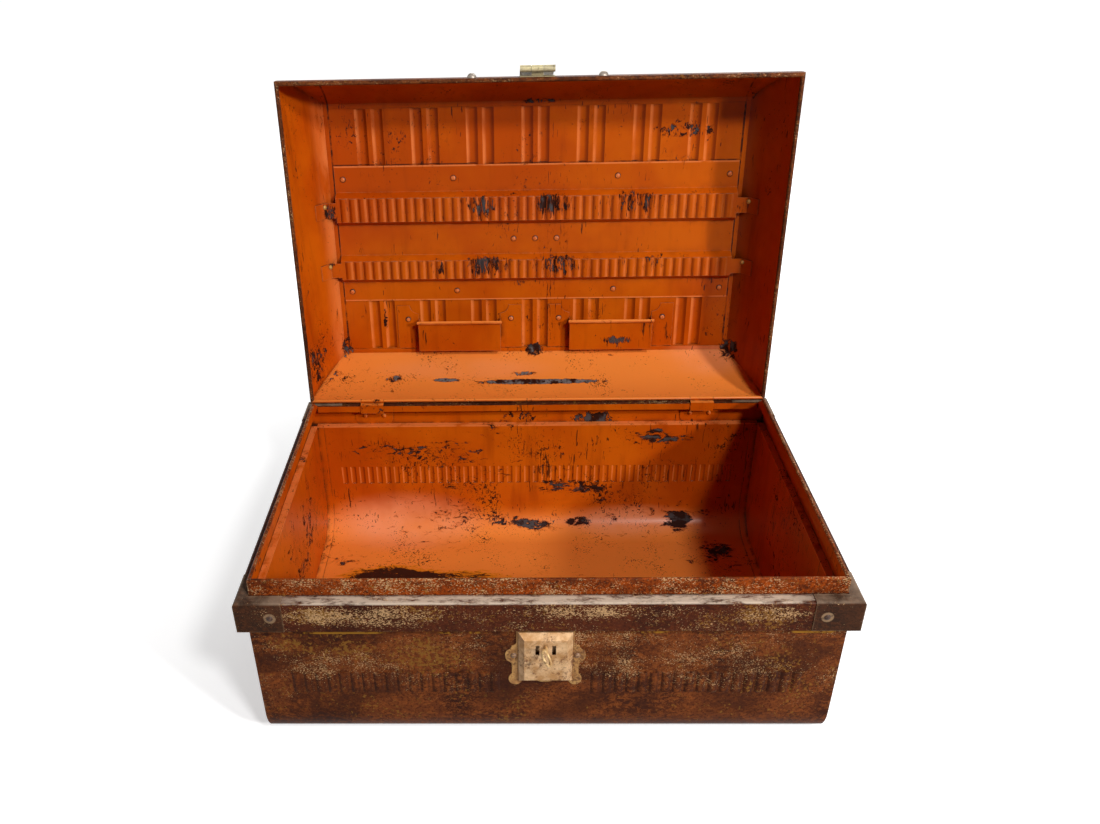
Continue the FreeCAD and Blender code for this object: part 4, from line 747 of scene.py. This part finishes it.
def dress(finish: object, *nodes: str) -> None:
    """Give pieces a material made from a finish.

    Args:
        finish: The finish, which has a make method.
        nodes: Names of the CAD nodes and of the pieces added here.
    """
    block = finish.make()
    for name in nodes:
        mesh = (ADDED.get(name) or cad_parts[name]).data
        mesh.materials.clear()
        mesh.materials.append(block)
        LOG.info("%s wears %s", name, block.name)


def attach(name: str, mesh: Mesh, body: str) -> None:
    """Turn a mesh in the making into a smooth piece that rides on a body.

    Args:
        name: Name of the piece.
        mesh: The mesh, which is freed.
        body: Name of the body.
    """
    bmesh.ops.recalc_face_normals(mesh, faces=mesh.faces)
    data = bpy.data.meshes.new(name)
    mesh.to_mesh(data)
    mesh.free()
    data.shade_smooth()
    data.set_sharp_from_angle(angle=math.radians(SHARP_ANGLE))
    piece = bpy.data.objects.new(name, data)
    bpy.context.scene.collection.objects.link(piece)
    ADDED[name] = piece
    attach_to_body(piece, body)
    LOG.info("%s rides on %s", name, body)


def islands(data: bpy.types.Mesh) -> list[list[Vector]]:
    """Split a mesh into its separate pieces.

    Args:
        data: The mesh.

    Returns:
        The corners of each piece.
    """
    mesh = bmesh.new()
    mesh.from_mesh(data)
    bmesh.ops.remove_doubles(mesh, verts=mesh.verts, dist=WELD)
    found = []
    seen = set()
    for start in mesh.verts:
        if start in seen:
            continue
        seen.add(start)
        piece = [start]
        for corner in piece:
            for edge in corner.link_edges:
                other = edge.other_vert(corner)
                if other not in seen:
                    seen.add(other)
                    piece.append(other)
        found.append([corner.co.copy() for corner in piece])
    mesh.free()
    return found


def middle_of(points: list[Vector]) -> Vector:
    """Mean of some points."""
    return sum(points, Vector()) / len(points)


def quarter(ring: int, rings: int) -> float:
    """Angle of a ring on its way from the foot of a dome to its top."""
    return math.pi / 2 * ring / rings


def add_circle(mesh: Mesh, middle: Vector, across: Vector, beside: Vector, radius: float,
               sides: int) -> list[Corner]:
    """Add the corners of a round section that lies in the plane of two ways, and return them."""
    turns = [2 * math.pi * side / sides for side in range(sides)]
    ways = [across * math.cos(turn) + beside * math.sin(turn) for turn in turns]
    return [mesh.verts.new(middle + way * radius) for way in ways]


def skin(mesh: Mesh, rows: list[list[Corner]], tip: Corner | None = None, closed: bool = True) -> None:
    """Join rows of corners by faces.

    Args:
        mesh: The mesh that the faces go into.
        rows: Rows of as many corners each.
        tip: Corner that the last row runs together in.
        closed: Whether the last corner of a row joins the first.
    """
    count = len(rows[0])
    for side in range(count if closed else count - 1):
        after = (side + 1) % count
        for low, high in zip(rows, rows[1:]):
            mesh.faces.new((low[side], low[after], high[after], high[side]))
        if tip is not None:
            mesh.faces.new((rows[-1][side], rows[-1][after], tip))


def add_dome(mesh: Mesh, seat: Vector, facing: Vector, radius: float, rise: float, rings: int = 5,
             sides: int = 16) -> None:
    """Add a dome head, a closed solid.

    Args:
        mesh: The mesh that it goes into.
        seat: Middle of its foot.
        facing: Way that it stands out.
        radius: Radius of its foot.
        rise: Height as a share of the radius.
        rings: Sections up the dome.
        sides: Sides of a section.
    """
    axis = facing.normalized()
    across = axis.orthogonal().normalized()
    beside = axis.cross(across)
    rows = []
    for ring in range(rings):
        angle = quarter(ring, rings)
        middle = seat + axis * radius * rise * math.sin(angle)
        rows.append(add_circle(mesh, middle, across, beside, radius * math.cos(angle), sides))
    skin(mesh, rows, mesh.verts.new(seat + axis * radius * rise))
    mesh.faces.new(rows[0])


def places(*rows: tuple[float, ...]) -> tuple[Spot, ...]:
    """Worn places, each given by its x, y, z and its reach along them in millimetres, and its strength."""
    sizes = [tuple(part / MILLIMETRES for part in row) for row in rows]
    return tuple(Spot(size[:3], size[3:6], row[6]) for size, row in zip(sizes, rows))


# Inside of the base: the flute row, the back wall's top, the bend of the floor, the floor and the ends.
BASE_WEAR = places(
    (175, 205, 150, 65, 30, 20, 0.66),
    (50, 205, 70, 85, 30, 18, 0.5),
    (85, 205, 55, 30, 30, 30, 0.5),
    (-45, 192, 18, 40, 30, 12, 0.66),
    (-5, 188, 14, 35, 30, 9, 0.8),
    (65, 190, 16, 28, 30, 8, 0.62),
    (108, 193, 19, 20, 30, 12, 0.62),
    (205, 188, 16, 32, 40, 20, 0.78),
    (252, 140, 0, 35, 30, 20, 0.66),
    (-150, 205, 125, 110, 30, 40, 0.42),
    (-110, 205, 75, 50, 30, 20, 0.4),
    (30, 205, 125, 120, 30, 45, 0.3),
    (-305, 50, 100, 30, 180, 100, 0.34),
    (305, 20, 100, 30, 180, 100, 0.3),
)
BASE_RUST = places(
    (-205, 84, 0, 100, 36, 30, 0.42),
    (-100, 82, 0, 90, 24, 30, 0.32),
)
# Painted highlights on the bend of the floor.
BASE_HIGHLIGHTS = places(
    (-190, 186, 20, 130, 60, 50, 1.0),
    (140, 188, 18, 110, 40, 26, 0.9),
)
COLLAR_WEAR = places(
    (75, 210, 177, 45, 20, 16, 0.9),
    (-20, 210, 180, 60, 20, 16, 0.4),
)
# Inside of the lid: the panel's upper edge, the corners, and scrapes along the back cove.
LID_WEAR = places(
    (185, 321, 538, 55, 20, 16, 0.6),
    (225, 321, 535, 12, 20, 14, 0.55),
    (0, 321, 577, 50, 20, 6, 0.5),
    (-275, 316, 585, 24, 30, 20, 0.55),
    (272, 318, 583, 20, 30, 20, 0.55),
    (-268, 300, 255, 16, 30, 40, 0.6),
    (-300, 240, 250, 20, 30, 50, 0.5),
    (275, 290, 240, 20, 30, 30, 0.6),
    (10, 253.5, 212.6, 115, 7.5, 8, 1.6),
    (-127, 257.5, 214, 26, 5.5, 8, 1.5),
    (-20, 268, 218, 30, 6, 6, 0.8),
    (-200, 262, 215, 20, 12, 8, 0.7),
    (0, 300, 240, 20, 20, 14, 0.75),
    (-210, 302, 287, 6, 10, 30, 0.9),
)
# Painted highlights on the back cove of the lid.
LID_HIGHLIGHTS = places(
    (240, 285, 232, 70, 50, 30, 0.7),
    (-100, 275, 222, 160, 30, 20, 0.35),
)
# Stiffener and pockets: the upper fluted band, the lower one, the end tabs, a pocket and a strap.
PRESS_WEAR = places(
    (-75, 304.5, 448, 35, 12, 24, 0.62),
    (20, 305, 450, 35, 12, 24, 0.58),
    (130, 305, 452, 75, 12, 24, 0.45),
    (-60, 298.5, 368, 70, 12, 26, 0.62),
    (40, 299, 368, 50, 12, 26, 0.58),
    (150, 299, 370, 55, 12, 24, 0.5),
    (-135, 298.5, 368, 40, 12, 22, 0.46),
    (-274, 303, 443, 16, 20, 20, 0.7),
    (-278, 298, 374, 12, 20, 12, 0.6),
    (273, 304, 444, 14, 20, 16, 0.55),
    (112, 286, 260, 35, 12, 8, 0.62),
    (-20, 306, 339, 14, 10, 8, 0.7),
)
# Front wall and the band of the collar.
FRONT_GOLD = places(
    (-235, -203, 145, 85, 30, 30, 0.42),
    (-130, -203, 128, 70, 30, 40, 0.4),
    (-210, -203, 60, 60, 30, 30, 0.25),
    (250, -203, 100, 80, 30, 50, 0.3),
)
FRONT_PALE = places(
    (-220, -203, 115, 80, 30, 30, 0.3),
    (60, -203, 130, 60, 30, 50, 0.25),
    (190, -203, 110, 100, 30, 40, 0.22),
    (0, -203, 20, 500, 50, 75, -0.55),
)
# Painted shadow below and left of the lock on the front wall.
LOCK_SHADOW = places(
    (-18, -203, 118, 65, 30, 55, 0.75),
    (-50, -203, 75, 40, 30, 30, 0.6),
)
GOLD_LINE = places(
    (-210, -203, 160, 60, 20, 20, 0.45),
    (-90, -203, 160, 50, 20, 20, 0.18),
    (110, -203, 160, 30, 20, 20, 0.22),
    (270, -203, 160, 30, 20, 20, 0.35),
)
BAND_PALE = places(
    (-190, -211.5, 190, 110, 30, 20, 0.5),
    (40, -211.5, 196, 70, 30, 14, 0.45),
    (220, -211.5, 192, 60, 30, 14, 0.4),
)
BAND_GOLD = places(
    (-225, -211.5, 190, 60, 20, 16, 0.45),
    (-130, -211.5, 192, 50, 20, 16, 0.3),
    (200, -211.5, 186, 70, 20, 20, 0.35),
)


@dataclass
class Base:
    """The lower half: wrap, ends, collar, corner caps and hinge straps."""

    ring_reach: float = 0.0078
    flange_level: float = 0.165
    # Height below which up-facing inner faces take the powdery film and painted top light.
    powder_and_light_top: float = 0.11
    # Painted highlight along the rolled top edge of the wall, inside.
    bead_line: Zone = Zone("Z", 0.1702, 0.1724)

    def rivet_rings(self) -> tuple[Spot, ...]:
        """Rubbed rings on the corner caps, one round each rivet."""
        rivets = islands(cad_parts["cap_rivets"].data)
        return tuple(Spot(tuple(middle_of(points)), (self.ring_reach,) * 3, 1.0) for points in rivets)

    def dress(self) -> None:
        """Give the base its paint."""
        front = StripedFront(Graining(gold_spots=FRONT_GOLD, spots=FRONT_PALE, shadow_spots=LOCK_SHADOW), GOLD_LINE)
        inner = Enamel(spots=BASE_WEAR, highlight_spots=BASE_HIGHLIGHTS, rust=BASE_RUST, chips=0.1, nicks=0.2,
                       scratches=0.1, varnish=0.3, chip_stretch=(0.6, 1.0, 1.2), powder_and_light_top=self.powder_and_light_top,
                       highlight_lines=(self.bead_line,))
        dress(PaintedTin("base_paint", front, Shell.BASE, inner, self.flange_level),
              "base_wrap", "base_end_left", "base_end_right")
        band = Graining(ground=paint(84, 40, 24), reddish=paint(100, 48, 26), gold_amount=0.04,
                        gold_spots=BAND_GOLD, spots=BAND_PALE)
        lip = Graining(deep=paint(52, 24, 15), ground=paint(136, 58, 16), reddish=paint(176, 76, 18),
                       deep_share=0.42, pale_amount=0.2, edge_amount=0.8)
        inner = Enamel(spots=COLLAR_WEAR, chips=0.05)
        dress(PaintedTin("collar_paint", CollarPaint(band, lip), Shell.BASE, inner),
              "collar_front", "collar_back", "collar_left", "collar_right")
        caps = Graining(ground=paint(82, 50, 32), deep=paint(48, 30, 21), reddish=paint(90, 52, 32),
                        gold_amount=-0.6, pale_amount=-0.1, edge_amount=0.9, rings=self.rivet_rings(),
                        top_powder_and_light=0.6)
        dress(PaintedTin("cap_paint", caps),
              *(f"corner_cap_{end}_{side}" for end in ("front", "back") for side in SIDES))
        dress(PaintedTin("strap_paint", Enamel(chips=0.25, edge_amount=0.6)),
              "hinge_strap_left", "hinge_strap_right", "hinge_rivets", "hinge_wire")


@dataclass
class Lid:
    """The dome lid: coved walls, top panel, stiffener and pockets. Places are along x, length and depth."""

    rim_middle: Point = (0.0, 0.20465, 0.2098)
    lean: float = 4.0
    panel_depth: float = 0.094
    rib_pitch: float = 0.0715
    rib_spread: float = 0.021
    rib_width: float = 0.017
    rib_height: float = 0.0028
    rib_pairs: int = 7
    rib_ends: tuple[float, float] = (0.0419, 0.3674)
    rib_taper: float = 0.0078
    tab_place: float = 0.2795
    tab_lengths: tuple[float, float] = (0.1643, 0.2456)
    tab_rivet: float = 0.0032
    tab_rise: float = 0.6
    head_radius: float = 0.0040
    head_rise: float = 0.5
    head_seat: float = 0.0003
    pocket_rim: float = 0.0018
    bead_radius: float = 0.0025
    bead_half: float = 0.0598
    edge_line: float = 0.0018
    end_seam: Zone = Zone("X", 0.2645, 0.2668, mirrored=True)

    def __post_init__(self) -> None:
        """Work out the ways along the lid and into it."""
        turn = math.radians(self.lean)
        self.along = Vector((0.0, math.sin(turn), math.cos(turn)))
        self.inwards = Vector((0.0, math.cos(turn), -math.sin(turn)))

    def place(self, across: float, length: float, depth: float) -> Vector:
        """Point of the lid at rest: across the trunk, along from the hinge, and inwards from the rim."""
        middle = Vector(self.rim_middle) + Vector((across, 0.0, 0.0))
        return middle + self.along * length + self.inwards * depth

    def build(self) -> None:
        """Make the small pieces of the lid."""
        mesh = bmesh.new()
        for pair in range(self.rib_pairs):
            for side in (-1, 1):
                middle = (pair - (self.rib_pairs - 1) / 2) * self.rib_pitch + side * self.rib_spread / 2
                for end, out in zip(self.rib_ends, (-1, 1)):
                    self.add_rib_end(mesh, middle, end, out)
        attach("rib_ends", mesh, "lid")
        mesh = bmesh.new()
        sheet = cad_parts["lid_stiffener"]
        for side in (-1, 1):
            for length in self.tab_lengths:
                start = self.place(side * self.tab_place, length, 0.0)
                found, seat, facing, _ = sheet.ray_cast(start, self.inwards)
                if found:
                    add_dome(mesh, seat, facing, self.tab_rivet, self.tab_rise)
        attach("tab_rivets", mesh, "lid")
        self.add_heads("strap_heads", "stiffener_rivets")
        self.add_heads("ear_heads", "pocket_rivets")
        mesh = bmesh.new()
        for side in SIDES:
            self.add_bead(mesh, f"pocket_{side}")
        attach("pocket_beads", mesh, "lid")

    def add_bead(self, mesh: Mesh, pocket: str, sides: int = 14, rings: int = 4) -> None:
        """Add the stout rolled bead along the mouth of a pocket, a closed solid with rounded ends.

        Args:
            mesh: Its mesh.
            pocket: Name of the pocket's node.
            sides: Sides of the bead's section.
            rings: Sections of each rounded end.
        """
        low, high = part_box(pocket)
        corners = (vertex.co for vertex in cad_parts[pocket].data.vertices)
        core = min(corners, key=self.inwards.dot) + self.inwards * self.pocket_rim
        core.x = (low.x + high.x) / 2
        half = [(0.0, self.bead_radius)]
        for ring in range(1, rings):
            angle = quarter(ring, rings)
            half.append((self.bead_half - self.bead_radius * (1 - math.sin(angle)) / 2,
                         self.bead_radius * math.cos(angle)))
        profile = [(-across, radius) for across, radius in reversed(half[1:])] + half
        rows = []
        for across, radius in profile:
            middle = core + Vector((across, 0.0, 0.0))
            rows.append(add_circle(mesh, middle, self.along, self.inwards, radius, sides))
        skin(mesh, rows)
        mesh.faces.new(rows[0])
        mesh.faces.new(rows[-1])

    def add_heads(self, name: str, rivets: str) -> None:
        """Give each rivet of a CAD node the broad low head that it has inside the lid.

        Args:
            name: Name of the new piece.
            rivets: Name of the node with the rivets.
        """
        mesh = bmesh.new()
        facing = -self.inwards
        for points in islands(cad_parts[rivets].data):
            middle = middle_of(points)
            crown = max(point.dot(facing) for point in points)
            sunk = self.head_seat - self.head_radius * self.head_rise
            seat = middle + facing * (crown - middle.dot(facing) + sunk)
            add_dome(mesh, seat, facing, self.head_radius, self.head_rise)
        attach(name, mesh, "lid")

    def add_rib_end(self, mesh: Mesh, middle: float, end: float, out: int, rings: int = 8,
                    steps: int = 12) -> None:
        """Add the rounded run-out of one pressed rib, a closed solid on the outside of the panel.

        Args:
            mesh: Its mesh.
            middle: Place of the rib across the lid.
            end: Length at which the rib's own section ends.
            out: -1 towards the hinge, 1 towards the front.
            rings: Sections along the run-out.
            steps: Parts of the arch across the rib.
        """
        rows = []
        for ring in range(rings):
            angle = quarter(ring, rings)
            size = math.cos(angle)
            length = end + out * self.rib_taper * math.sin(angle)
            row = []
            for step in range(steps + 1):
                share = 2 * step / steps - 1
                depth = self.panel_depth + self.rib_height * (1 - share * share) * size
                across = middle + share * size * self.rib_width / 2
                row.append(mesh.verts.new(self.place(across, length, depth)))
            rows.append(row)
        tip = mesh.verts.new(self.place(middle, end + out * self.rib_taper, self.panel_depth))
        skin(mesh, rows, tip, closed=False)
        mesh.faces.new(rows[0])
        mesh.faces.new([row[0] for row in rows] + [tip] + [row[-1] for row in reversed(rows)])

    def dress(self) -> None:
        """Give the lid its paint."""
        low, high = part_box("lid_stiffener")
        # Painted shadow line just above the stiffener's top edge.
        shadow = Zone("Z", high.z + self.edge_line / 4, high.z + self.edge_line)
        inner = Enamel(spots=LID_WEAR, stain=0.4, joints_and_shadow_lines=(self.end_seam, shadow), chips=0.04, nicks=0.1,
                       soil_and_shade_reach=0.011)
        outer = Graining(edge_amount=0.9)
        dress(PaintedTin("lid_paint", outer, Shell.LID, inner),
              "lid_front_wall", "lid_top_panel", "rib_ends")
        dress(PaintedTin("lid_end_paint", outer, Shell.LID, replace(inner, joints_and_shadow_lines=(self.end_seam,))),
              "lid_end_left", "lid_end_right")
        inner = Enamel(spots=LID_WEAR, highlight_spots=LID_HIGHLIGHTS, stain=0.2, varnish=0.3, nicks=0.1,
                       slate=paint(112, 106, 104))
        outer = Graining(edge_amount=0.1, edge_width=0.0008)
        dress(PaintedTin("lid_back_paint", outer, Shell.LID_BACK, inner), "lid_back_wall")
        # Painted highlight lines along the stiffener's top and bottom edges.
        lines = (Zone("Z", high.z - self.edge_line, high.z), Zone("Z", low.z, low.z + self.edge_line))
        press = Enamel(spots=PRESS_WEAR, stain=0.25, chips=0.02, chip_scale=130.0, highlight_lines=lines,
                       chip_stretch=(2.0, 1.0, 0.42), edge_amount=0.9, painted_flank_light=0.4, powder_and_light_top=0.0,
                       soil_and_shade_reach=0.011)
        dress(PaintedTin("press_paint", press), "lid_stiffener", "pocket_left", "pocket_right")
        bead = Enamel(fresh=paint(206, 96, 26), faded=paint(228, 128, 62), chips=0.1, soil_and_shade_reach=0.004)
        dress(PaintedTin("bead_paint", bead), "pocket_beads")


class Fittings:
    """Lock, hasp, key, handles and rivets."""

    def dress(self) -> None:
        """Give the fittings their metals."""
        dress(AgedMetal("aged_brass", paint(224, 184, 138), paint(182, 132, 78), paint(112, 62, 30),
                        shine=0.42, metallic=0.3, tarnish=0.34, edge_width=0.001),
              "lock_case", "lock_bolt", "lock_spring", "lock_key_post")
        dress(AgedMetal("tarnished_brass", paint(196, 148, 84), paint(150, 98, 46), paint(84, 42, 20),
                        shine=0.45, metallic=0.3, tarnish=0.5), "lock_plate")
        dress(AgedMetal("pale_brass", paint(206, 192, 146), paint(156, 144, 118), paint(84, 64, 36),
                        shine=0.4, metallic=0.45), "hasp_leaf", "hasp_flap", "hasp_pin", "hasp_rivets")
        dress(AgedMetal("key_brass", paint(240, 208, 152), paint(206, 160, 100), paint(110, 70, 36),
                        shine=0.35, metallic=0.3), "lock_key")
        dress(AgedMetal("worn_steel", paint(186, 174, 160), paint(128, 116, 106), paint(52, 40, 34),
                        shine=0.35, metallic=0.7), "lid_studs")
        dress(AgedMetal("tab_rivet_heads", paint(206, 160, 84), paint(164, 110, 44), paint(60, 48, 30),
                        shine=0.4, metallic=0.3), "tab_rivets")
        dress(AgedMetal("dark_iron", paint(104, 90, 78), paint(62, 53, 48), paint(48, 28, 18),
                        shine=0.45, metallic=0.6),
              "handle_rivets", *(f"handle_{part}_{side}" for part in ("plate", "bail") for side in SIDES))
        # Cap rivets have pale rubbed rings; the lock and painted rivets have dark rings of painted shade.
        dress(RivetHead("cap_rivet_heads", paint(52, 32, 22), paint(90, 62, 46), paint(166, 138, 112),
                        gloss=0.3, ring_start=0.6), "cap_rivets")
        dress(RivetHead("lock_rivet_heads", paint(120, 84, 58), paint(176, 140, 104), paint(52, 28, 16),
                        gloss=0.4, ring_start=0.6), "lock_rivets")
        dress(RivetHead("painted_rivet_heads", paint(200, 90, 20), paint(224, 130, 68), paint(48, 18, 8),
                        gloss=0.4, ring_start=0.9),
              "stiffener_rivets", "pocket_rivets", "strap_heads", "ear_heads")


@dataclass(frozen=True)
class Lamp:
    """Round area lamp: its name, its place and width in metres, and its light in watts."""

    name: str
    place: Point
    size: float
    power: float


@dataclass
class Studio:
    """Pale floor, soft lamps and the camera of the photograph."""

    focal: float = 30.97
    sensor: float = 36.0
    near: float = 0.02
    camera_place: Point = (-0.0318, -0.9318, 0.8264)
    pitch: float = 31.38
    yaw: float = -1.79
    roll: float = -1.37
    shift: tuple[float, float] = (0.0564, 0.0330)
    target: Point = (0.0, 0.05, 0.25)
    lamps: tuple[Lamp, ...] = (
        Lamp("key", (2.05, -1.95, 1.65), 0.3, 58.0),
        Lamp("second", (1.0, -1.9, 2.3), 0.4, 45.0),
        Lamp("side_fill", (-2.3, 1.0, 0.2), 0.8, 26.0),
        Lamp("back", (0.4, 2.4, 1.9), 1.6, 34.0),
    )
    floor_half: float = 40.0
    floor_tone: Colour = (0.24, 0.24, 0.24, 1.0)
    seen_tone: Colour = (0.8, 0.8, 0.8, 1.0)
    near_glow: float = 0.55
    glow_start: float = 0.4
    glow_full: float = 1.1
    room_light: float = 0.013
    white: Colour = (1.0, 1.0, 1.0, 1.0)

    def build(self) -> None:
        """Set up the camera, lamps, floor and world."""
        bpy.context.scene.view_settings.view_transform = "Standard"
        self.add_camera()
        for lamp in self.lamps:
            self.add_lamp(lamp)
        self.add_floor()
        self.add_world()

    def link(self, name: str, data: bpy.types.ID) -> bpy.types.Object:
        """Put a new object into the scene.

        Args:
            name: Name of the object.
            data: Its camera, light or mesh.

        Returns:
            The object.
        """
        item = bpy.data.objects.new(name, data)
        bpy.context.scene.collection.objects.link(item)
        return item

    def add_camera(self) -> None:
        """Place the camera where the photograph was taken from."""
        data = bpy.data.cameras.new("camera")
        data.lens = self.focal
        data.sensor_fit = "HORIZONTAL"
        data.sensor_width = self.sensor
        data.shift_x, data.shift_y = self.shift
        data.clip_start = self.near
        camera = self.link("camera", data)
        turn = (Matrix.Rotation(math.radians(-self.yaw), 4, "Z")
                @ Matrix.Rotation(math.pi / 2 - math.radians(self.pitch), 4, "X")
                @ Matrix.Rotation(math.radians(self.roll), 4, "Z"))
        camera.matrix_world = Matrix.Translation(self.camera_place) @ turn
        bpy.context.scene.camera = camera

    def add_lamp(self, lamp: Lamp) -> None:
        """Add an area lamp that looks at the trunk."""
        data = bpy.data.lights.new(lamp.name, "AREA")
        data.shape = "DISK"
        data.size = lamp.size
        data.energy = lamp.power
        aim = Vector(self.target) - Vector(lamp.place)
        turn = aim.to_track_quat("-Z", "Y").to_matrix().to_4x4()
        self.link(lamp.name, data).matrix_world = Matrix.Translation(lamp.place) @ turn

    def add_floor(self) -> None:
        """Lay the pale floor under the trunk."""
        half = self.floor_half
        mesh = bpy.data.meshes.new("floor")
        corners = [(-half, -half, 0.0), (half, -half, 0.0), (half, half, 0.0), (-half, half, 0.0)]
        mesh.from_pydata(corners, [], [range(len(corners))])
        wires = Material("pale_floor")
        shown = self.background(wires)
        ground = wires.add("BsdfDiffuse", {"Color": wires.mix(shown, self.floor_tone, self.seen_tone)})
        away = wires.vector("LENGTH", wires.place, output="Value")
        glow = wires.blend(wires.step(away, self.glow_start, self.glow_full), self.near_glow, 1.0)
        white = wires.add("Emission", {"Strength": wires.times(glow, shown)})
        mixed = wires.add("AddShader", {0: ground.outputs["BSDF"], 1: white.outputs["Emission"]})
        wires.add("OutputMaterial", {"Surface": mixed.outputs["Shader"]})
        mesh.materials.append(wires.block)
        floor = self.link("floor", mesh)

    def background(self, wires: Wiring) -> Socket:
        """Mask of the rays that show the background: those of the camera, and of gloss and glass.

        Args:
            wires: Wiring of the tree that needs the mask.

        Returns:
            The mask, 0 or 1.
        """
        path = wires.add("LightPath").outputs
        seen = wires.math("ADD", path["Is Camera Ray"], path["Is Glossy Ray"], clamp=True)
        return wires.math("ADD", seen, path["Is Transmission Ray"], clamp=True)

    def add_world(self) -> None:
        """Light the room evenly, and show it white to the camera and in reflections."""
        world = bpy.data.worlds.new("room")
        world.use_nodes = True
        world.node_tree.nodes.clear()
        wires = Wiring(world.node_tree)
        strength = wires.blend(self.background(wires), self.room_light, 1.0)
        back = wires.add("Background", {"Color": self.white, "Strength": strength})
        wires.add("OutputWorld", {"Surface": back.outputs["Background"]})
        bpy.context.scene.world = world


def main() -> None:
    """Build the scene in order."""
    logging.basicConfig(level=logging.INFO, format="%(message)s")
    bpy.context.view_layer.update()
    Studio().build()
    Base().dress()
    lid = Lid()
    lid.build()
    lid.dress()
    Fittings().dress()


if __name__ == "__main__":
    main()
